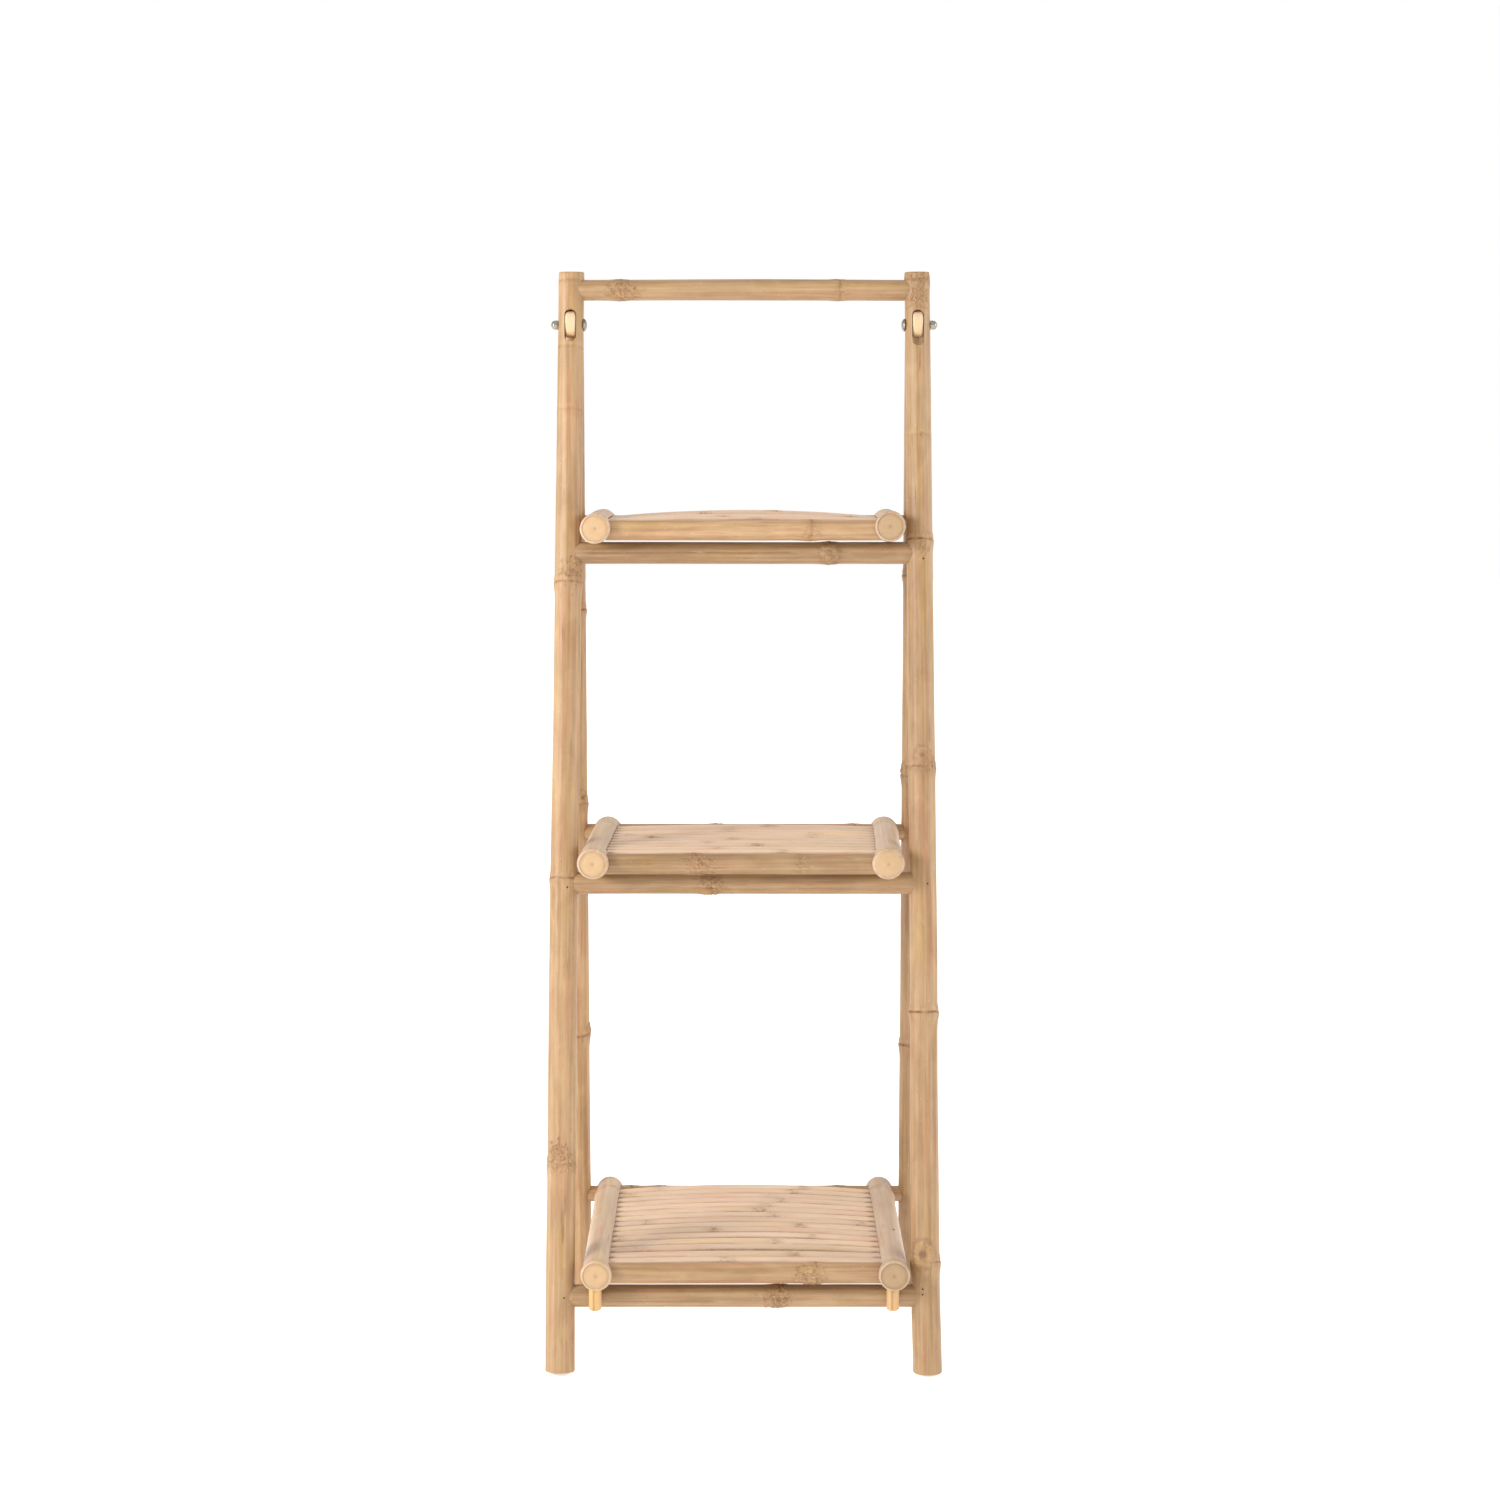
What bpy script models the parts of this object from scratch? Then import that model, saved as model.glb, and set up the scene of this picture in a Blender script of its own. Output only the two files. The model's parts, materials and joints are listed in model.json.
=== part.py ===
"""Folding ladder shelf of bamboo poles, in metres, +Z up, standing on its four feet.

Two ladder frames lean together and are hinged near the top. Three trays pivot on the
rear frame's rungs and rest on the front frame's rungs. The origin is the centre of the
footprint, on the floor; +Y points to the back.
"""
import math

import bmesh
import bpy
from mathutils import Matrix, Vector

# Overall sizes
HEIGHT = 1.200              # top of the front posts
FOOT_SPAN = 0.404           # left to right between pole axes, at the floor
TOP_SPAN = 0.386            # the same, at HEIGHT
REAR_FOOT_SPAN = 0.398      # rear feet, which stand a little closer
POST_SETBACK = 0.210        # how far a post's top leans behind its foot
FOOT_DEPTH = 0.330          # front feet to rear feet, between axes
HINGE_DROP = 0.059          # pivot below the top of the posts
FOLD_GAP = 0.0009           # post to leg beside the pivot

# Pole radii: foot and top of the uprights, then the cross poles
POST_FOOT_R = 0.0161
POST_TOP_R = 0.0140
LEG_FOOT_R = 0.0140
LEG_TOP_R = 0.0125
TOP_RAIL_R = 0.0115
FRONT_RUNG_R = 0.0121
REAR_RUNG_R = 0.0095
RAIL_R = 0.0163
BAR_R = 0.0113
WALL = 0.0060               # thickness of a hollow pole's wall

# Heights of the cross poles
TOP_RAIL_DROP = 0.0203      # top rail's axis below the top of the posts
BOTTOM_RUNG_HEIGHT = 0.0830
TOP_RUNG_DROP = 0.3108      # top front rung below the top of the posts
RUNG_STEP = 0.3609          # middle front rung below the top one

# Trays
TRAY_NAMES = ("bottom", "middle", "top")
TRAY_CLEARANCE = 0.0023     # rail to post, where the posts stand closest
FRONT_OVERHANG = {"bottom": 0.032, "middle": 0.050, "top": 0.040}
BACK_OVERHANG = 0.022       # rail past the rear rung's axis
BAR_SETBACK = 0.020         # front bar's axis behind the rail's front end
BAR_RAISE = {"bottom": 0.0006, "middle": -0.0026, "top": -0.0026}
BAR_TO_PEG = 0.0018         # wood between the bar's end and a peg
SLAT_COUNT = {"bottom": 15, "middle": 10, "top": 5}
SLAT_GAP = 0.0012
SLAT_THICKNESS = 0.0045
SLAT_RAISE = 0.0070         # slat ends above the rail's axis
SLAT_CAMBER = {"bottom": 0.0070, "middle": 0.0027, "top": 0.0075}   # rise of its middle
SLAT_SOCKET = 0.0060        # how far a slat reaches into each rail
DECK_GAP = 0.0008           # deck to front bar, and deck to rear rung
PEG_R = 0.0069
PEG_BOTTOM = 0.0720         # height of a peg's lower end
PEG_SOCKET = 0.0040         # how far a peg reaches above the rail's axis

# Hinge
TONGUE_THICKNESS = 0.0115
TONGUE_RECESS = 0.0003      # tongue's round head inside the post's face
TONGUE_MARGIN = 0.00175     # leg's wall outside the tongue, front and back
SLOT_SIDE_GAP = 0.0015      # slot to tongue, on each side
SLOT_TOP_GAP = 0.0020
SLOT_FOOT_GAP = 0.0072      # room below the tongue, which dips as the frames fold
TONGUE_TENON = 0.0400       # its length inside the leg
LEG_TOP_DROP = 0.0030       # leg's upper end below the pivot
BOLT_R = 0.0030
BOLT_HEAD_R = 0.0072
BOLT_HEAD_HEIGHT = 0.0035
NUT_R = 0.0058
NUT_HEIGHT = 0.0076
NUT_DOME_START = 0.0035     # height of the nut's straight side
NUT_TOP = 0.0020            # metal over the end of the bolt

# Fits
REST_GAP = 0.0003           # between touching pieces
PIVOT_CLEARANCE = 0.0005    # round a turning piece, on the radius
RUNG_INSET = 0.0060         # a cross pole's end, short of the upright's axis
POST_SOLID = 0.0250         # solid pole below the slot
LEG_SOLID = 0.0120          # solid leg below the tongue

# Nodes of the bamboo, as shares of an upright's height
POST_NODES = {-1: (0.187, 0.443, 0.712, 0.872), 1: (0.101, 0.324, 0.549, 0.753)}
LEG_NODES = {-1: (0.274, 0.523, 0.719), 1: (0.264, 0.551, 0.754)}
NODE_SWELL = 0.0012         # rise of a node over the pole
NODE_HALF = 0.0060          # half of a node's length
CROSS_NODE_SHARE = 0.27     # node's place on a cross pole, from its middle

POLE_SIDES = 16
CROSS_SIDES = 14
HOLE_SIDES = 16
METAL_SIDES = 16
SLAT_SEGMENTS = 8
DOME_STEPS = 4
HEAD_STEPS = 10
EDGE = 0.0010               # chamfer round a pole's cut end
TRIM = 0.030                # extra length of a pole past a level cut

LEFT, RIGHT = -1, 1
SIDES = {LEFT: "left", RIGHT: "right"}

# The poles are worked out with Y counted from the front feet.
PIVOT_HEIGHT = HEIGHT - HINGE_DROP
POST_LEAN = math.atan2(POST_SETBACK, HEIGHT)
PIVOT_Y = PIVOT_HEIGHT * math.tan(POST_LEAN)
PIVOT_POST_R = POST_FOOT_R + (POST_TOP_R - POST_FOOT_R) * PIVOT_HEIGHT / HEIGHT
LEG_OFFSET = PIVOT_POST_R + FOLD_GAP + LEG_TOP_R    # leg's axis behind the pivot
PIVOT_REACH = math.hypot(FOOT_DEPTH - PIVOT_Y, PIVOT_HEIGHT)
LEG_LEAN = (math.atan2(FOOT_DEPTH - PIVOT_Y, PIVOT_HEIGHT)
            - math.asin(LEG_OFFSET / PIVOT_REACH))
LEG_LENGTH = math.sqrt(PIVOT_REACH ** 2 - LEG_OFFSET ** 2) - LEG_TOP_DROP
TONGUE_HEAD_R = PIVOT_POST_R - TONGUE_RECESS
TONGUE_STEM = 2 * (LEG_TOP_R - TONGUE_MARGIN)
SLOT_WIDTH = TONGUE_THICKNESS + 2 * SLOT_SIDE_GAP
SLOT_ABOVE = TONGUE_HEAD_R + SLOT_TOP_GAP
SLOT_BELOW = TONGUE_HEAD_R + SLOT_FOOT_GAP
TOP_RUNG_HEIGHT = HEIGHT - TOP_RUNG_DROP
RUNG_HEIGHTS = {"bottom": BOTTOM_RUNG_HEIGHT, "middle": TOP_RUNG_HEIGHT - RUNG_STEP,
                "top": TOP_RUNG_HEIGHT}


def half_span(height):
    """Distance of a pole's axis from the middle plane at a height."""
    return FOOT_SPAN / 2 + (TOP_SPAN - FOOT_SPAN) / 2 * height / HEIGHT


def post_radius(height):
    return POST_FOOT_R + (POST_TOP_R - POST_FOOT_R) * height / HEIGHT


def post_y(height):
    return height * math.tan(POST_LEAN)


def leg_x(height):
    """Distance of a leg's axis from the middle plane; it meets the post's at the pivot."""
    share = height / PIVOT_HEIGHT
    return REAR_FOOT_SPAN / 2 * (1 - share) + half_span(PIVOT_HEIGHT) * share


def leg_y(height):
    return FOOT_DEPTH - height * math.tan(LEG_LEAN)


def tray_height(tray):
    """Axis of a tray's rails, which lie on the front rung."""
    return RUNG_HEIGHTS[tray] + FRONT_RUNG_R + RAIL_R + REST_GAP


def rail_front_y(tray):
    return post_y(RUNG_HEIGHTS[tray]) - FRONT_OVERHANG[tray]


def rail_back_y(tray):
    return leg_y(tray_height(tray)) + BACK_OVERHANG


# The trays pass between the posts at every height.
RAIL_X = min(half_span(height) - post_radius(height)
             for height in RUNG_HEIGHTS.values()) - TRAY_CLEARANCE - RAIL_R
BAR_REACH = RAIL_X - PEG_R - BAR_TO_PEG
FRONT_EDGE = min([rail_front_y(tray) for tray in TRAY_NAMES]
                 + [-POST_FOOT_R / math.cos(POST_LEAN)])
BACK_EDGE = max([rail_back_y(tray) for tray in TRAY_NAMES]
                + [FOOT_DEPTH + LEG_FOOT_R / math.cos(LEG_LEAN)])
Y_SHIFT = -(FRONT_EDGE + BACK_EDGE) / 2


def point(x, y, z):
    """A place in the shelf's own frame, from Y counted from the front feet."""
    return Vector((x, y + Y_SHIFT, z))


def post_point(side, height):
    return point(side * half_span(height), post_y(height), height)


def leg_point(side, height):
    return point(side * leg_x(height), leg_y(height), height)


def clear_scene():
    for obj in list(bpy.data.objects):
        bpy.data.objects.remove(obj, do_unlink=True)


def make_collection(name):
    collection = bpy.data.collections.new(name)
    bpy.context.scene.collection.children.link(collection)
    return collection


def make_material(name, colour, roughness, metallic=0.0):
    material = bpy.data.materials.new(name)
    material.use_nodes = True
    shader = material.node_tree.nodes["Principled BSDF"]
    shader.inputs["Base Color"].default_value = (*colour, 1.0)
    shader.inputs["Roughness"].default_value = roughness
    shader.inputs["Metallic"].default_value = metallic
    return material


clear_scene()
PARTS = make_collection("ladder_shelf")
CUTTERS = make_collection("ladder_shelf_cutters")
POLE = make_material("bamboo_pole", (0.60, 0.37, 0.18), 0.55)
RAIL = make_material("bamboo_rail", (0.56, 0.39, 0.24), 0.60)
SLAT = make_material("bamboo_slat", (0.68, 0.49, 0.31), 0.60)
PALE = make_material("pale_dowel", (0.80, 0.55, 0.26), 0.55)
METAL = make_material("nickel_steel", (0.62, 0.58, 0.52), 0.30, 1.0)


def add_object(name, mesh, material):
    obj = bpy.data.objects.new(name, mesh)
    obj.data.materials.append(material)
    PARTS.objects.link(obj)
    return obj


def aim(obj, start, end):
    """Puts an object's origin at start and turns its +Z to end."""
    obj.location = start
    obj.rotation_euler = (end - start).to_track_quat("Z", "Y").to_euler()


def turned(name, profile, sides, material):
    """Turns a profile of (radius, height), given down its outer side, about +Z."""
    bm = bmesh.new()
    row = [bm.verts.new((radius, 0.0, height)) for radius, height in profile]
    for above, below in zip(row, row[1:]):
        bm.edges.new((above, below))
    mesh = bpy.data.meshes.new(name)
    bm.to_mesh(mesh)
    bm.free()
    obj = add_object(name, mesh, material)
    screw = obj.modifiers.new("turn", "SCREW")
    screw.axis = "Z"
    screw.steps = sides
    screw.render_steps = sides
    screw.use_merge_vertices = True
    screw.merge_threshold = 0.00001
    screw.use_smooth_shade = True
    return obj


def pole(name, start, end, radii, sides, nodes=(), hollow=(), material=POLE):
    """A bamboo pole from start to end.

    radii are at start and end; nodes are distances of its swollen rings from start;
    hollow is the stretch (from, to) that is bored, and reaches start or both ends.
    """
    length = (end - start).length
    slope = (radii[1] - radii[0]) / length

    def outer(distance):
        return radii[0] + slope * distance

    profile = [(outer(length) - EDGE, length), (outer(length), length - EDGE)]
    for node in sorted(nodes, reverse=True):
        profile.append((outer(node + NODE_HALF), node + NODE_HALF))
        profile.append((outer(node) + NODE_SWELL, node))
        profile.append((outer(node - NODE_HALF), node - NODE_HALF))
    profile += [(outer(EDGE), EDGE), (outer(0.0) - EDGE, 0.0)]
    if not hollow:
        profile = [(0.0, length)] + profile + [(0.0, 0.0)]
    elif hollow[1] < length:
        profile = ([(0.0, length)] + profile
                   + [(outer(0.0) - WALL, 0.0), (outer(hollow[1]) - WALL, hollow[1]),
                      (0.0, hollow[1])])
    else:
        profile += [(outer(0.0) - WALL, 0.0), (outer(length) - WALL, length), profile[0]]
    obj = turned(name, profile, sides, material)
    aim(obj, start, end)
    return obj


def hide_cutter(obj):
    CUTTERS.objects.link(obj)
    obj.hide_render = True
    obj.display_type = "WIRE"
    return obj


def rod_cutter(name, start, end, radius):
    bm = bmesh.new()
    depth = (end - start).length
    bmesh.ops.create_cone(bm, cap_ends=True, segments=HOLE_SIDES, radius1=radius,
                          radius2=radius, depth=depth)
    bmesh.ops.translate(bm, verts=bm.verts, vec=(0.0, 0.0, depth / 2))
    mesh = bpy.data.meshes.new(name)
    bm.to_mesh(mesh)
    bm.free()
    cutter = hide_cutter(bpy.data.objects.new(name, mesh))
    aim(cutter, start, end)
    return cutter


def box_cutter(name, boxes, location=(0.0, 0.0, 0.0), rotation=(0.0, 0.0, 0.0)):
    """One cutter of separate boxes, each (centre, size)."""
    bm = bmesh.new()
    for centre, size in boxes:
        place = Matrix.Translation(centre) @ Matrix.Diagonal((*size, 1.0))
        bmesh.ops.create_cube(bm, size=1.0, matrix=place)
    mesh = bpy.data.meshes.new(name)
    bm.to_mesh(mesh)
    bm.free()
    cutter = hide_cutter(bpy.data.objects.new(name, mesh))
    cutter.location = location
    cutter.rotation_euler = rotation
    return cutter


def cut(target, cutter):
    boolean = target.modifiers.new("cut " + cutter.name, "BOOLEAN")
    boolean.operation = "DIFFERENCE"
    boolean.solver = "EXACT"
    boolean.object = cutter


def cross_nodes(length, count):
    """Places of a cross pole's nodes, as distances from its left end."""
    shares = (0.5 - CROSS_NODE_SHARE, 0.5 + CROSS_NODE_SHARE)
    return [length * share for share in shares[-count:]]


def level_cutter(name, height, direction):
    """Cuts the leaning poles level: below a height with direction -1, above it with 1."""
    size = (2 * FOOT_SPAN, 2 * FOOT_DEPTH + FOOT_SPAN, 2 * TRIM)
    return box_cutter(name, [((0.0, 0.0, height + direction * TRIM), size)])


def cross_pole(name, place, height, radius, nodes):
    """A hollow cross pole let into both uprights of its frame, whose axes place gives."""
    inset = Vector((RUNG_INSET, 0.0, 0.0))
    start = place(LEFT, height) + inset
    end = place(RIGHT, height) - inset
    length = (end - start).length
    places = cross_nodes(length, nodes)
    return pole(name, start, end, (radius, radius), CROSS_SIDES, places, (0.0, length))


def socket_cutter(name, place, side, height, radius):
    """The socket in an upright that a cross pole's end sits in."""
    axis = place(side, height)
    inward = Vector((-side, 0.0, 0.0))
    return rod_cutter(name, axis + inward * (RUNG_INSET - REST_GAP),
                      axis + inward * 2 * POST_FOOT_R, radius + REST_GAP)


def upright(name, side, place, height_top, extra, radii, node_shares, solid_from):
    """A leaning post or leg, longer than needed and bored up to solid_from."""
    top = place(side, height_top)
    foot = place(side, 0.0)
    along = (top - foot).normalized()
    start = foot - along * TRIM
    end = top + along * extra
    rise = along.z
    taper = (radii[1] - radii[0]) / (top - foot).length
    radii = (radii[0] - taper * TRIM, radii[1] + taper * extra)
    nodes = [share * height_top / rise + TRIM for share in node_shares]
    hollow = (0.0, solid_from / rise + TRIM)
    return pole(name, start, end, radii, POLE_SIDES, nodes, hollow)


def build_front_frame(floor_cut):
    top_cut = level_cutter("top_cut", HEIGHT, 1)
    slot_size = (SLOT_WIDTH, 4 * POST_TOP_R, SLOT_ABOVE + SLOT_BELOW)
    slot_centre = (0.0, 0.0, (SLOT_ABOVE - SLOT_BELOW) / 2)
    bored_to = PIVOT_HEIGHT - SLOT_BELOW - POST_SOLID
    top_rail_height = HEIGHT - TOP_RAIL_DROP
    for side, word in SIDES.items():
        post = upright("front_post_" + word, side, post_point, HEIGHT, TRIM,
                       (POST_FOOT_R, POST_TOP_R), POST_NODES[side], bored_to)
        cut(post, floor_cut)
        cut(post, top_cut)
        slot = box_cutter("slot_" + word, [(slot_centre, slot_size)],
                          post_point(side, PIVOT_HEIGHT), (-POST_LEAN, 0.0, 0.0))
        cut(post, slot)
        pivot = post_point(side, PIVOT_HEIGHT)
        reach = Vector((2 * POST_TOP_R, 0.0, 0.0))
        cut(post, rod_cutter("bolt_hole_" + word, pivot - reach, pivot + reach,
                             BOLT_R + REST_GAP))
        cut(post, socket_cutter("top_rail_socket_" + word, post_point, side,
                                top_rail_height, TOP_RAIL_R))
        for tray in TRAY_NAMES:
            cut(post, socket_cutter(f"front_{tray}_socket_{word}", post_point, side,
                                    RUNG_HEIGHTS[tray], FRONT_RUNG_R))
    cross_pole("top_rail", post_point, top_rail_height, TOP_RAIL_R, 2)
    for tray in TRAY_NAMES:
        cross_pole("front_rung_" + tray, post_point, RUNG_HEIGHTS[tray], FRONT_RUNG_R, 1)


def dome(radius, low, high):
    """Points of a flat dome's outer side, from its crown to its rim."""
    angles = [math.pi / 2 * step / DOME_STEPS for step in range(DOME_STEPS + 1)]
    return [(radius * math.sin(angle), low + (high - low) * math.cos(angle))
            for angle in angles]


def build_hinge_metal():
    """Bolts through the posts and tongues: dome head inside, cap nut outside."""
    seat = PIVOT_POST_R + REST_GAP
    nut_bore = NUT_HEIGHT - NUT_TOP
    shank = 2 * seat + nut_bore - REST_GAP
    bolt_profile = dome(BOLT_HEAD_R, 0.0, BOLT_HEAD_HEIGHT)
    bolt_profile += [(BOLT_R, 0.0), (BOLT_R, -shank), (0.0, -shank)]
    nut_profile = dome(NUT_R, NUT_DOME_START, NUT_HEIGHT)
    nut_profile += [(NUT_R, 0.0), (BOLT_R + REST_GAP, 0.0),
                    (BOLT_R + REST_GAP, nut_bore), (0.0, nut_bore)]
    for side, word in SIDES.items():
        pivot = post_point(side, PIVOT_HEIGHT)
        outward = Vector((side, 0.0, 0.0))
        bolt = turned("hinge_bolt_" + word, bolt_profile, METAL_SIDES, METAL)
        head_seat = pivot - outward * seat
        aim(bolt, head_seat, head_seat - outward)
        nut = turned("hinge_cap_nut_" + word, nut_profile, METAL_SIDES, METAL)
        nut_seat = pivot + outward * seat
        aim(nut, nut_seat, nut_seat + outward)


def tongue_outline():
    """Side view of the hinge tongue: +X to the back, +Y up the leg, pivot at 0, 0."""
    opening = POST_LEAN + LEG_LEAN
    first, last = math.pi * 3 / 2, math.pi / 2 - opening
    arc = [first + (last - first) * step / HEAD_STEPS for step in range(HEAD_STEPS + 1)]
    head = [(TONGUE_HEAD_R * math.cos(angle), TONGUE_HEAD_R * math.sin(angle))
            for angle in arc]
    back = LEG_OFFSET + TONGUE_STEM / 2
    front = LEG_OFFSET - TONGUE_STEM / 2
    foot = -LEG_TOP_DROP - TONGUE_TENON
    corner = TONGUE_STEM / 4
    top_x, top_y = head[-1]
    fall = math.tan(opening)
    body = [(back - corner, top_y - (back - corner - top_x) * fall),
            (back, top_y - (back - top_x) * fall - corner),
            (back, foot), (front, foot), (front, -TONGUE_HEAD_R)]
    return head + body


def build_tongue(side, word):
    """Flat tongue let into the leg's top, turning in the post's slot."""
    curve = bpy.data.curves.new("hinge_tongue_" + word, "CURVE")
    curve.dimensions = "2D"
    curve.fill_mode = "BOTH"
    curve.extrude = TONGUE_THICKNESS / 2
    hole_r = BOLT_R + PIVOT_CLEARANCE
    hole = [(hole_r * math.cos(math.tau * step / HOLE_SIDES),
             hole_r * math.sin(math.tau * step / HOLE_SIDES))
            for step in range(HOLE_SIDES)]
    for outline in (tongue_outline(), hole):
        spline = curve.splines.new("POLY")
        spline.points.add(len(outline) - 1)
        for target, (x, y) in zip(spline.points, outline):
            target.co = (x, y, 0.0, 1.0)
        spline.use_cyclic_u = True
    tongue = add_object("hinge_tongue_" + word, curve, POLE)
    tongue.location = post_point(side, PIVOT_HEIGHT)
    back = Vector((0.0, math.cos(LEG_LEAN), math.sin(LEG_LEAN)))
    up = Vector((0.0, -math.sin(LEG_LEAN), math.cos(LEG_LEAN)))
    turn = Matrix((back, up, back.cross(up))).transposed()
    tongue.rotation_euler = turn.to_euler()


def build_rear_frame(floor_cut):
    leg_height = LEG_LENGTH * math.cos(LEG_LEAN)
    tenon_size = (TONGUE_TENON + REST_GAP) * 2
    for side, word in SIDES.items():
        bored_to = leg_height - TONGUE_TENON - LEG_SOLID
        leg = upright("rear_leg_" + word, side, leg_point, leg_height, 0.0,
                      (LEG_FOOT_R, LEG_TOP_R), LEG_NODES[side], bored_to)
        cut(leg, floor_cut)
        build_tongue(side, word)
        slot = box_cutter("tongue_slot_" + word, [
            ((0.0, LEG_OFFSET, -LEG_TOP_DROP),
             (TONGUE_THICKNESS + 2 * REST_GAP, 4 * LEG_TOP_R, tenon_size))],
            post_point(side, PIVOT_HEIGHT), (LEG_LEAN, 0.0, 0.0))
        cut(leg, slot)
        for tray in TRAY_NAMES:
            cut(leg, socket_cutter(f"rear_{tray}_socket_{word}", leg_point, side,
                                   tray_height(tray), REAR_RUNG_R))
    for tray in TRAY_NAMES:
        cross_pole("rear_rung_" + tray, leg_point, tray_height(tray), REAR_RUNG_R, 2)


def deck_range(tray):
    """Y of the deck's front and back edges, between the front bar and the rear rung."""
    front = rail_front_y(tray) + BAR_SETBACK + BAR_R + DECK_GAP
    back = leg_y(tray_height(tray)) - REAR_RUNG_R - DECK_GAP
    return front, back


def slat_places(tray):
    """Slat width and the Y of each slat's middle, front to back."""
    front, back = deck_range(tray)
    count = SLAT_COUNT[tray]
    pitch = (back - front) / count
    return pitch - SLAT_GAP, [front + pitch * (index + 0.5) for index in range(count)]


def slat_half_length():
    surface = math.sqrt(RAIL_R ** 2 - SLAT_RAISE ** 2)
    return RAIL_X - surface + SLAT_SOCKET


def slat_mesh(name, width, camber):
    """A strip bowed upwards along X, to be thickened by Solidify."""
    bm = bmesh.new()
    half = slat_half_length()
    bmesh.ops.create_grid(bm, x_segments=SLAT_SEGMENTS, y_segments=1, size=1.0)
    for vert in bm.verts:
        across = vert.co.x
        vert.co = (across * half, vert.co.y * width / 2, camber * (1 - across ** 2))
    mesh = bpy.data.meshes.new(name)
    bm.to_mesh(mesh)
    bm.free()
    mesh.materials.append(SLAT)
    return mesh


def build_slats(tray):
    width, places = slat_places(tray)
    mesh = slat_mesh(tray + "_tray_slat", width, SLAT_CAMBER[tray])
    for index, y in enumerate(places):
        slat = bpy.data.objects.new(f"{tray}_tray_slat_{index + 1:02d}", mesh)
        PARTS.objects.link(slat)
        slat.location = point(0.0, y, tray_height(tray) + SLAT_RAISE)
        thicken = slat.modifiers.new("thickness", "SOLIDIFY")
        thicken.thickness = SLAT_THICKNESS
        thicken.offset = 0.0


def notch_cutter(tray, side, word):
    """The notches in a rail's inner side that hold the slats' ends."""
    width, places = slat_places(tray)
    end = slat_half_length() + REST_GAP
    depth = 2 * RAIL_R
    slope = 2 * SLAT_CAMBER[tray] / slat_half_length()
    size = (depth, width + 2 * REST_GAP,
            SLAT_THICKNESS + 2 * REST_GAP + slope * SLAT_SOCKET)
    height = tray_height(tray) + SLAT_RAISE + slope * SLAT_SOCKET / 2
    boxes = [(point(side * (end - depth / 2), y, height), size) for y in places]
    return box_cutter(f"{tray}_notches_{word}", boxes)


def build_tray(tray):
    """Two side rails, a front bar and a deck of bowed slats."""
    height = tray_height(tray)
    bar_y = rail_front_y(tray) + BAR_SETBACK
    bar_height = height + BAR_RAISE[tray]
    rung_y = leg_y(height)
    for side, word in SIDES.items():
        start = point(side * RAIL_X, rail_front_y(tray), height)
        end = point(side * RAIL_X, rail_back_y(tray), height)
        rail = pole(f"{tray}_tray_rail_{word}", start, end, (RAIL_R, RAIL_R), POLE_SIDES,
                    (), (), RAIL)
        cut(rail, notch_cutter(tray, side, word))
        through = Vector((2 * RAIL_R, 0.0, 0.0))
        rung_place = point(side * RAIL_X, rung_y, height)
        cut(rail, rod_cutter(f"{tray}_rung_hole_{word}", rung_place - through,
                             rung_place + through, REAR_RUNG_R + PIVOT_CLEARANCE))
        cut(rail, rod_cutter(f"{tray}_bar_socket_{word}",
                             point(side * (BAR_REACH + REST_GAP), bar_y, bar_height),
                             point(side * (RAIL_X - 2 * RAIL_R), bar_y, bar_height),
                             BAR_R + REST_GAP))
        if tray == "bottom":
            build_peg(rail, side, word)
    start = point(-BAR_REACH, bar_y, bar_height)
    end = point(BAR_REACH, bar_y, bar_height)
    pole(f"{tray}_tray_front_bar", start, end, (BAR_R, BAR_R), CROSS_SIDES,
         cross_nodes(2 * BAR_REACH, 1))
    build_slats(tray)


def build_peg(rail, side, word):
    """Peg under the bottom tray's rail, which hooks in front of the bottom rung."""
    height = tray_height("bottom")
    rung_height = RUNG_HEIGHTS["bottom"]
    y = post_y(rung_height) - FRONT_RUNG_R - REST_GAP - PEG_R
    x = side * RAIL_X
    top = height + PEG_SOCKET
    cut(rail, rod_cutter("peg_hole_" + word, point(x, y, height - 2 * RAIL_R),
                         point(x, y, top + REST_GAP), PEG_R + REST_GAP))
    pole("bottom_tray_peg_" + word, point(x, y, PEG_BOTTOM), point(x, y, top),
         (PEG_R, PEG_R), CROSS_SIDES, (), (), PALE)


def build_shelf():
    floor_cut = level_cutter("floor_cut", 0.0, -1)
    build_front_frame(floor_cut)
    build_hinge_metal()
    build_rear_frame(floor_cut)
    for tray in TRAY_NAMES:
        build_tray(tray)


build_shelf()
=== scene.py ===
"""Looks of a folding bamboo ladder shelf: natural poles, split slats and hinge metal.

It is laid out as an add-on and run as a script, with a pale studio round the shelf.
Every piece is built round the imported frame: poles take their axes and radii from the
solids they stand for, and the trays' strips, holes and fittings are placed from them.
Units are metres, +Z up, +Y to the back.
"""

import json
import math
from collections import namedtuple

import bmesh
import bpy
from mathutils import Matrix, Vector, noise


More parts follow.
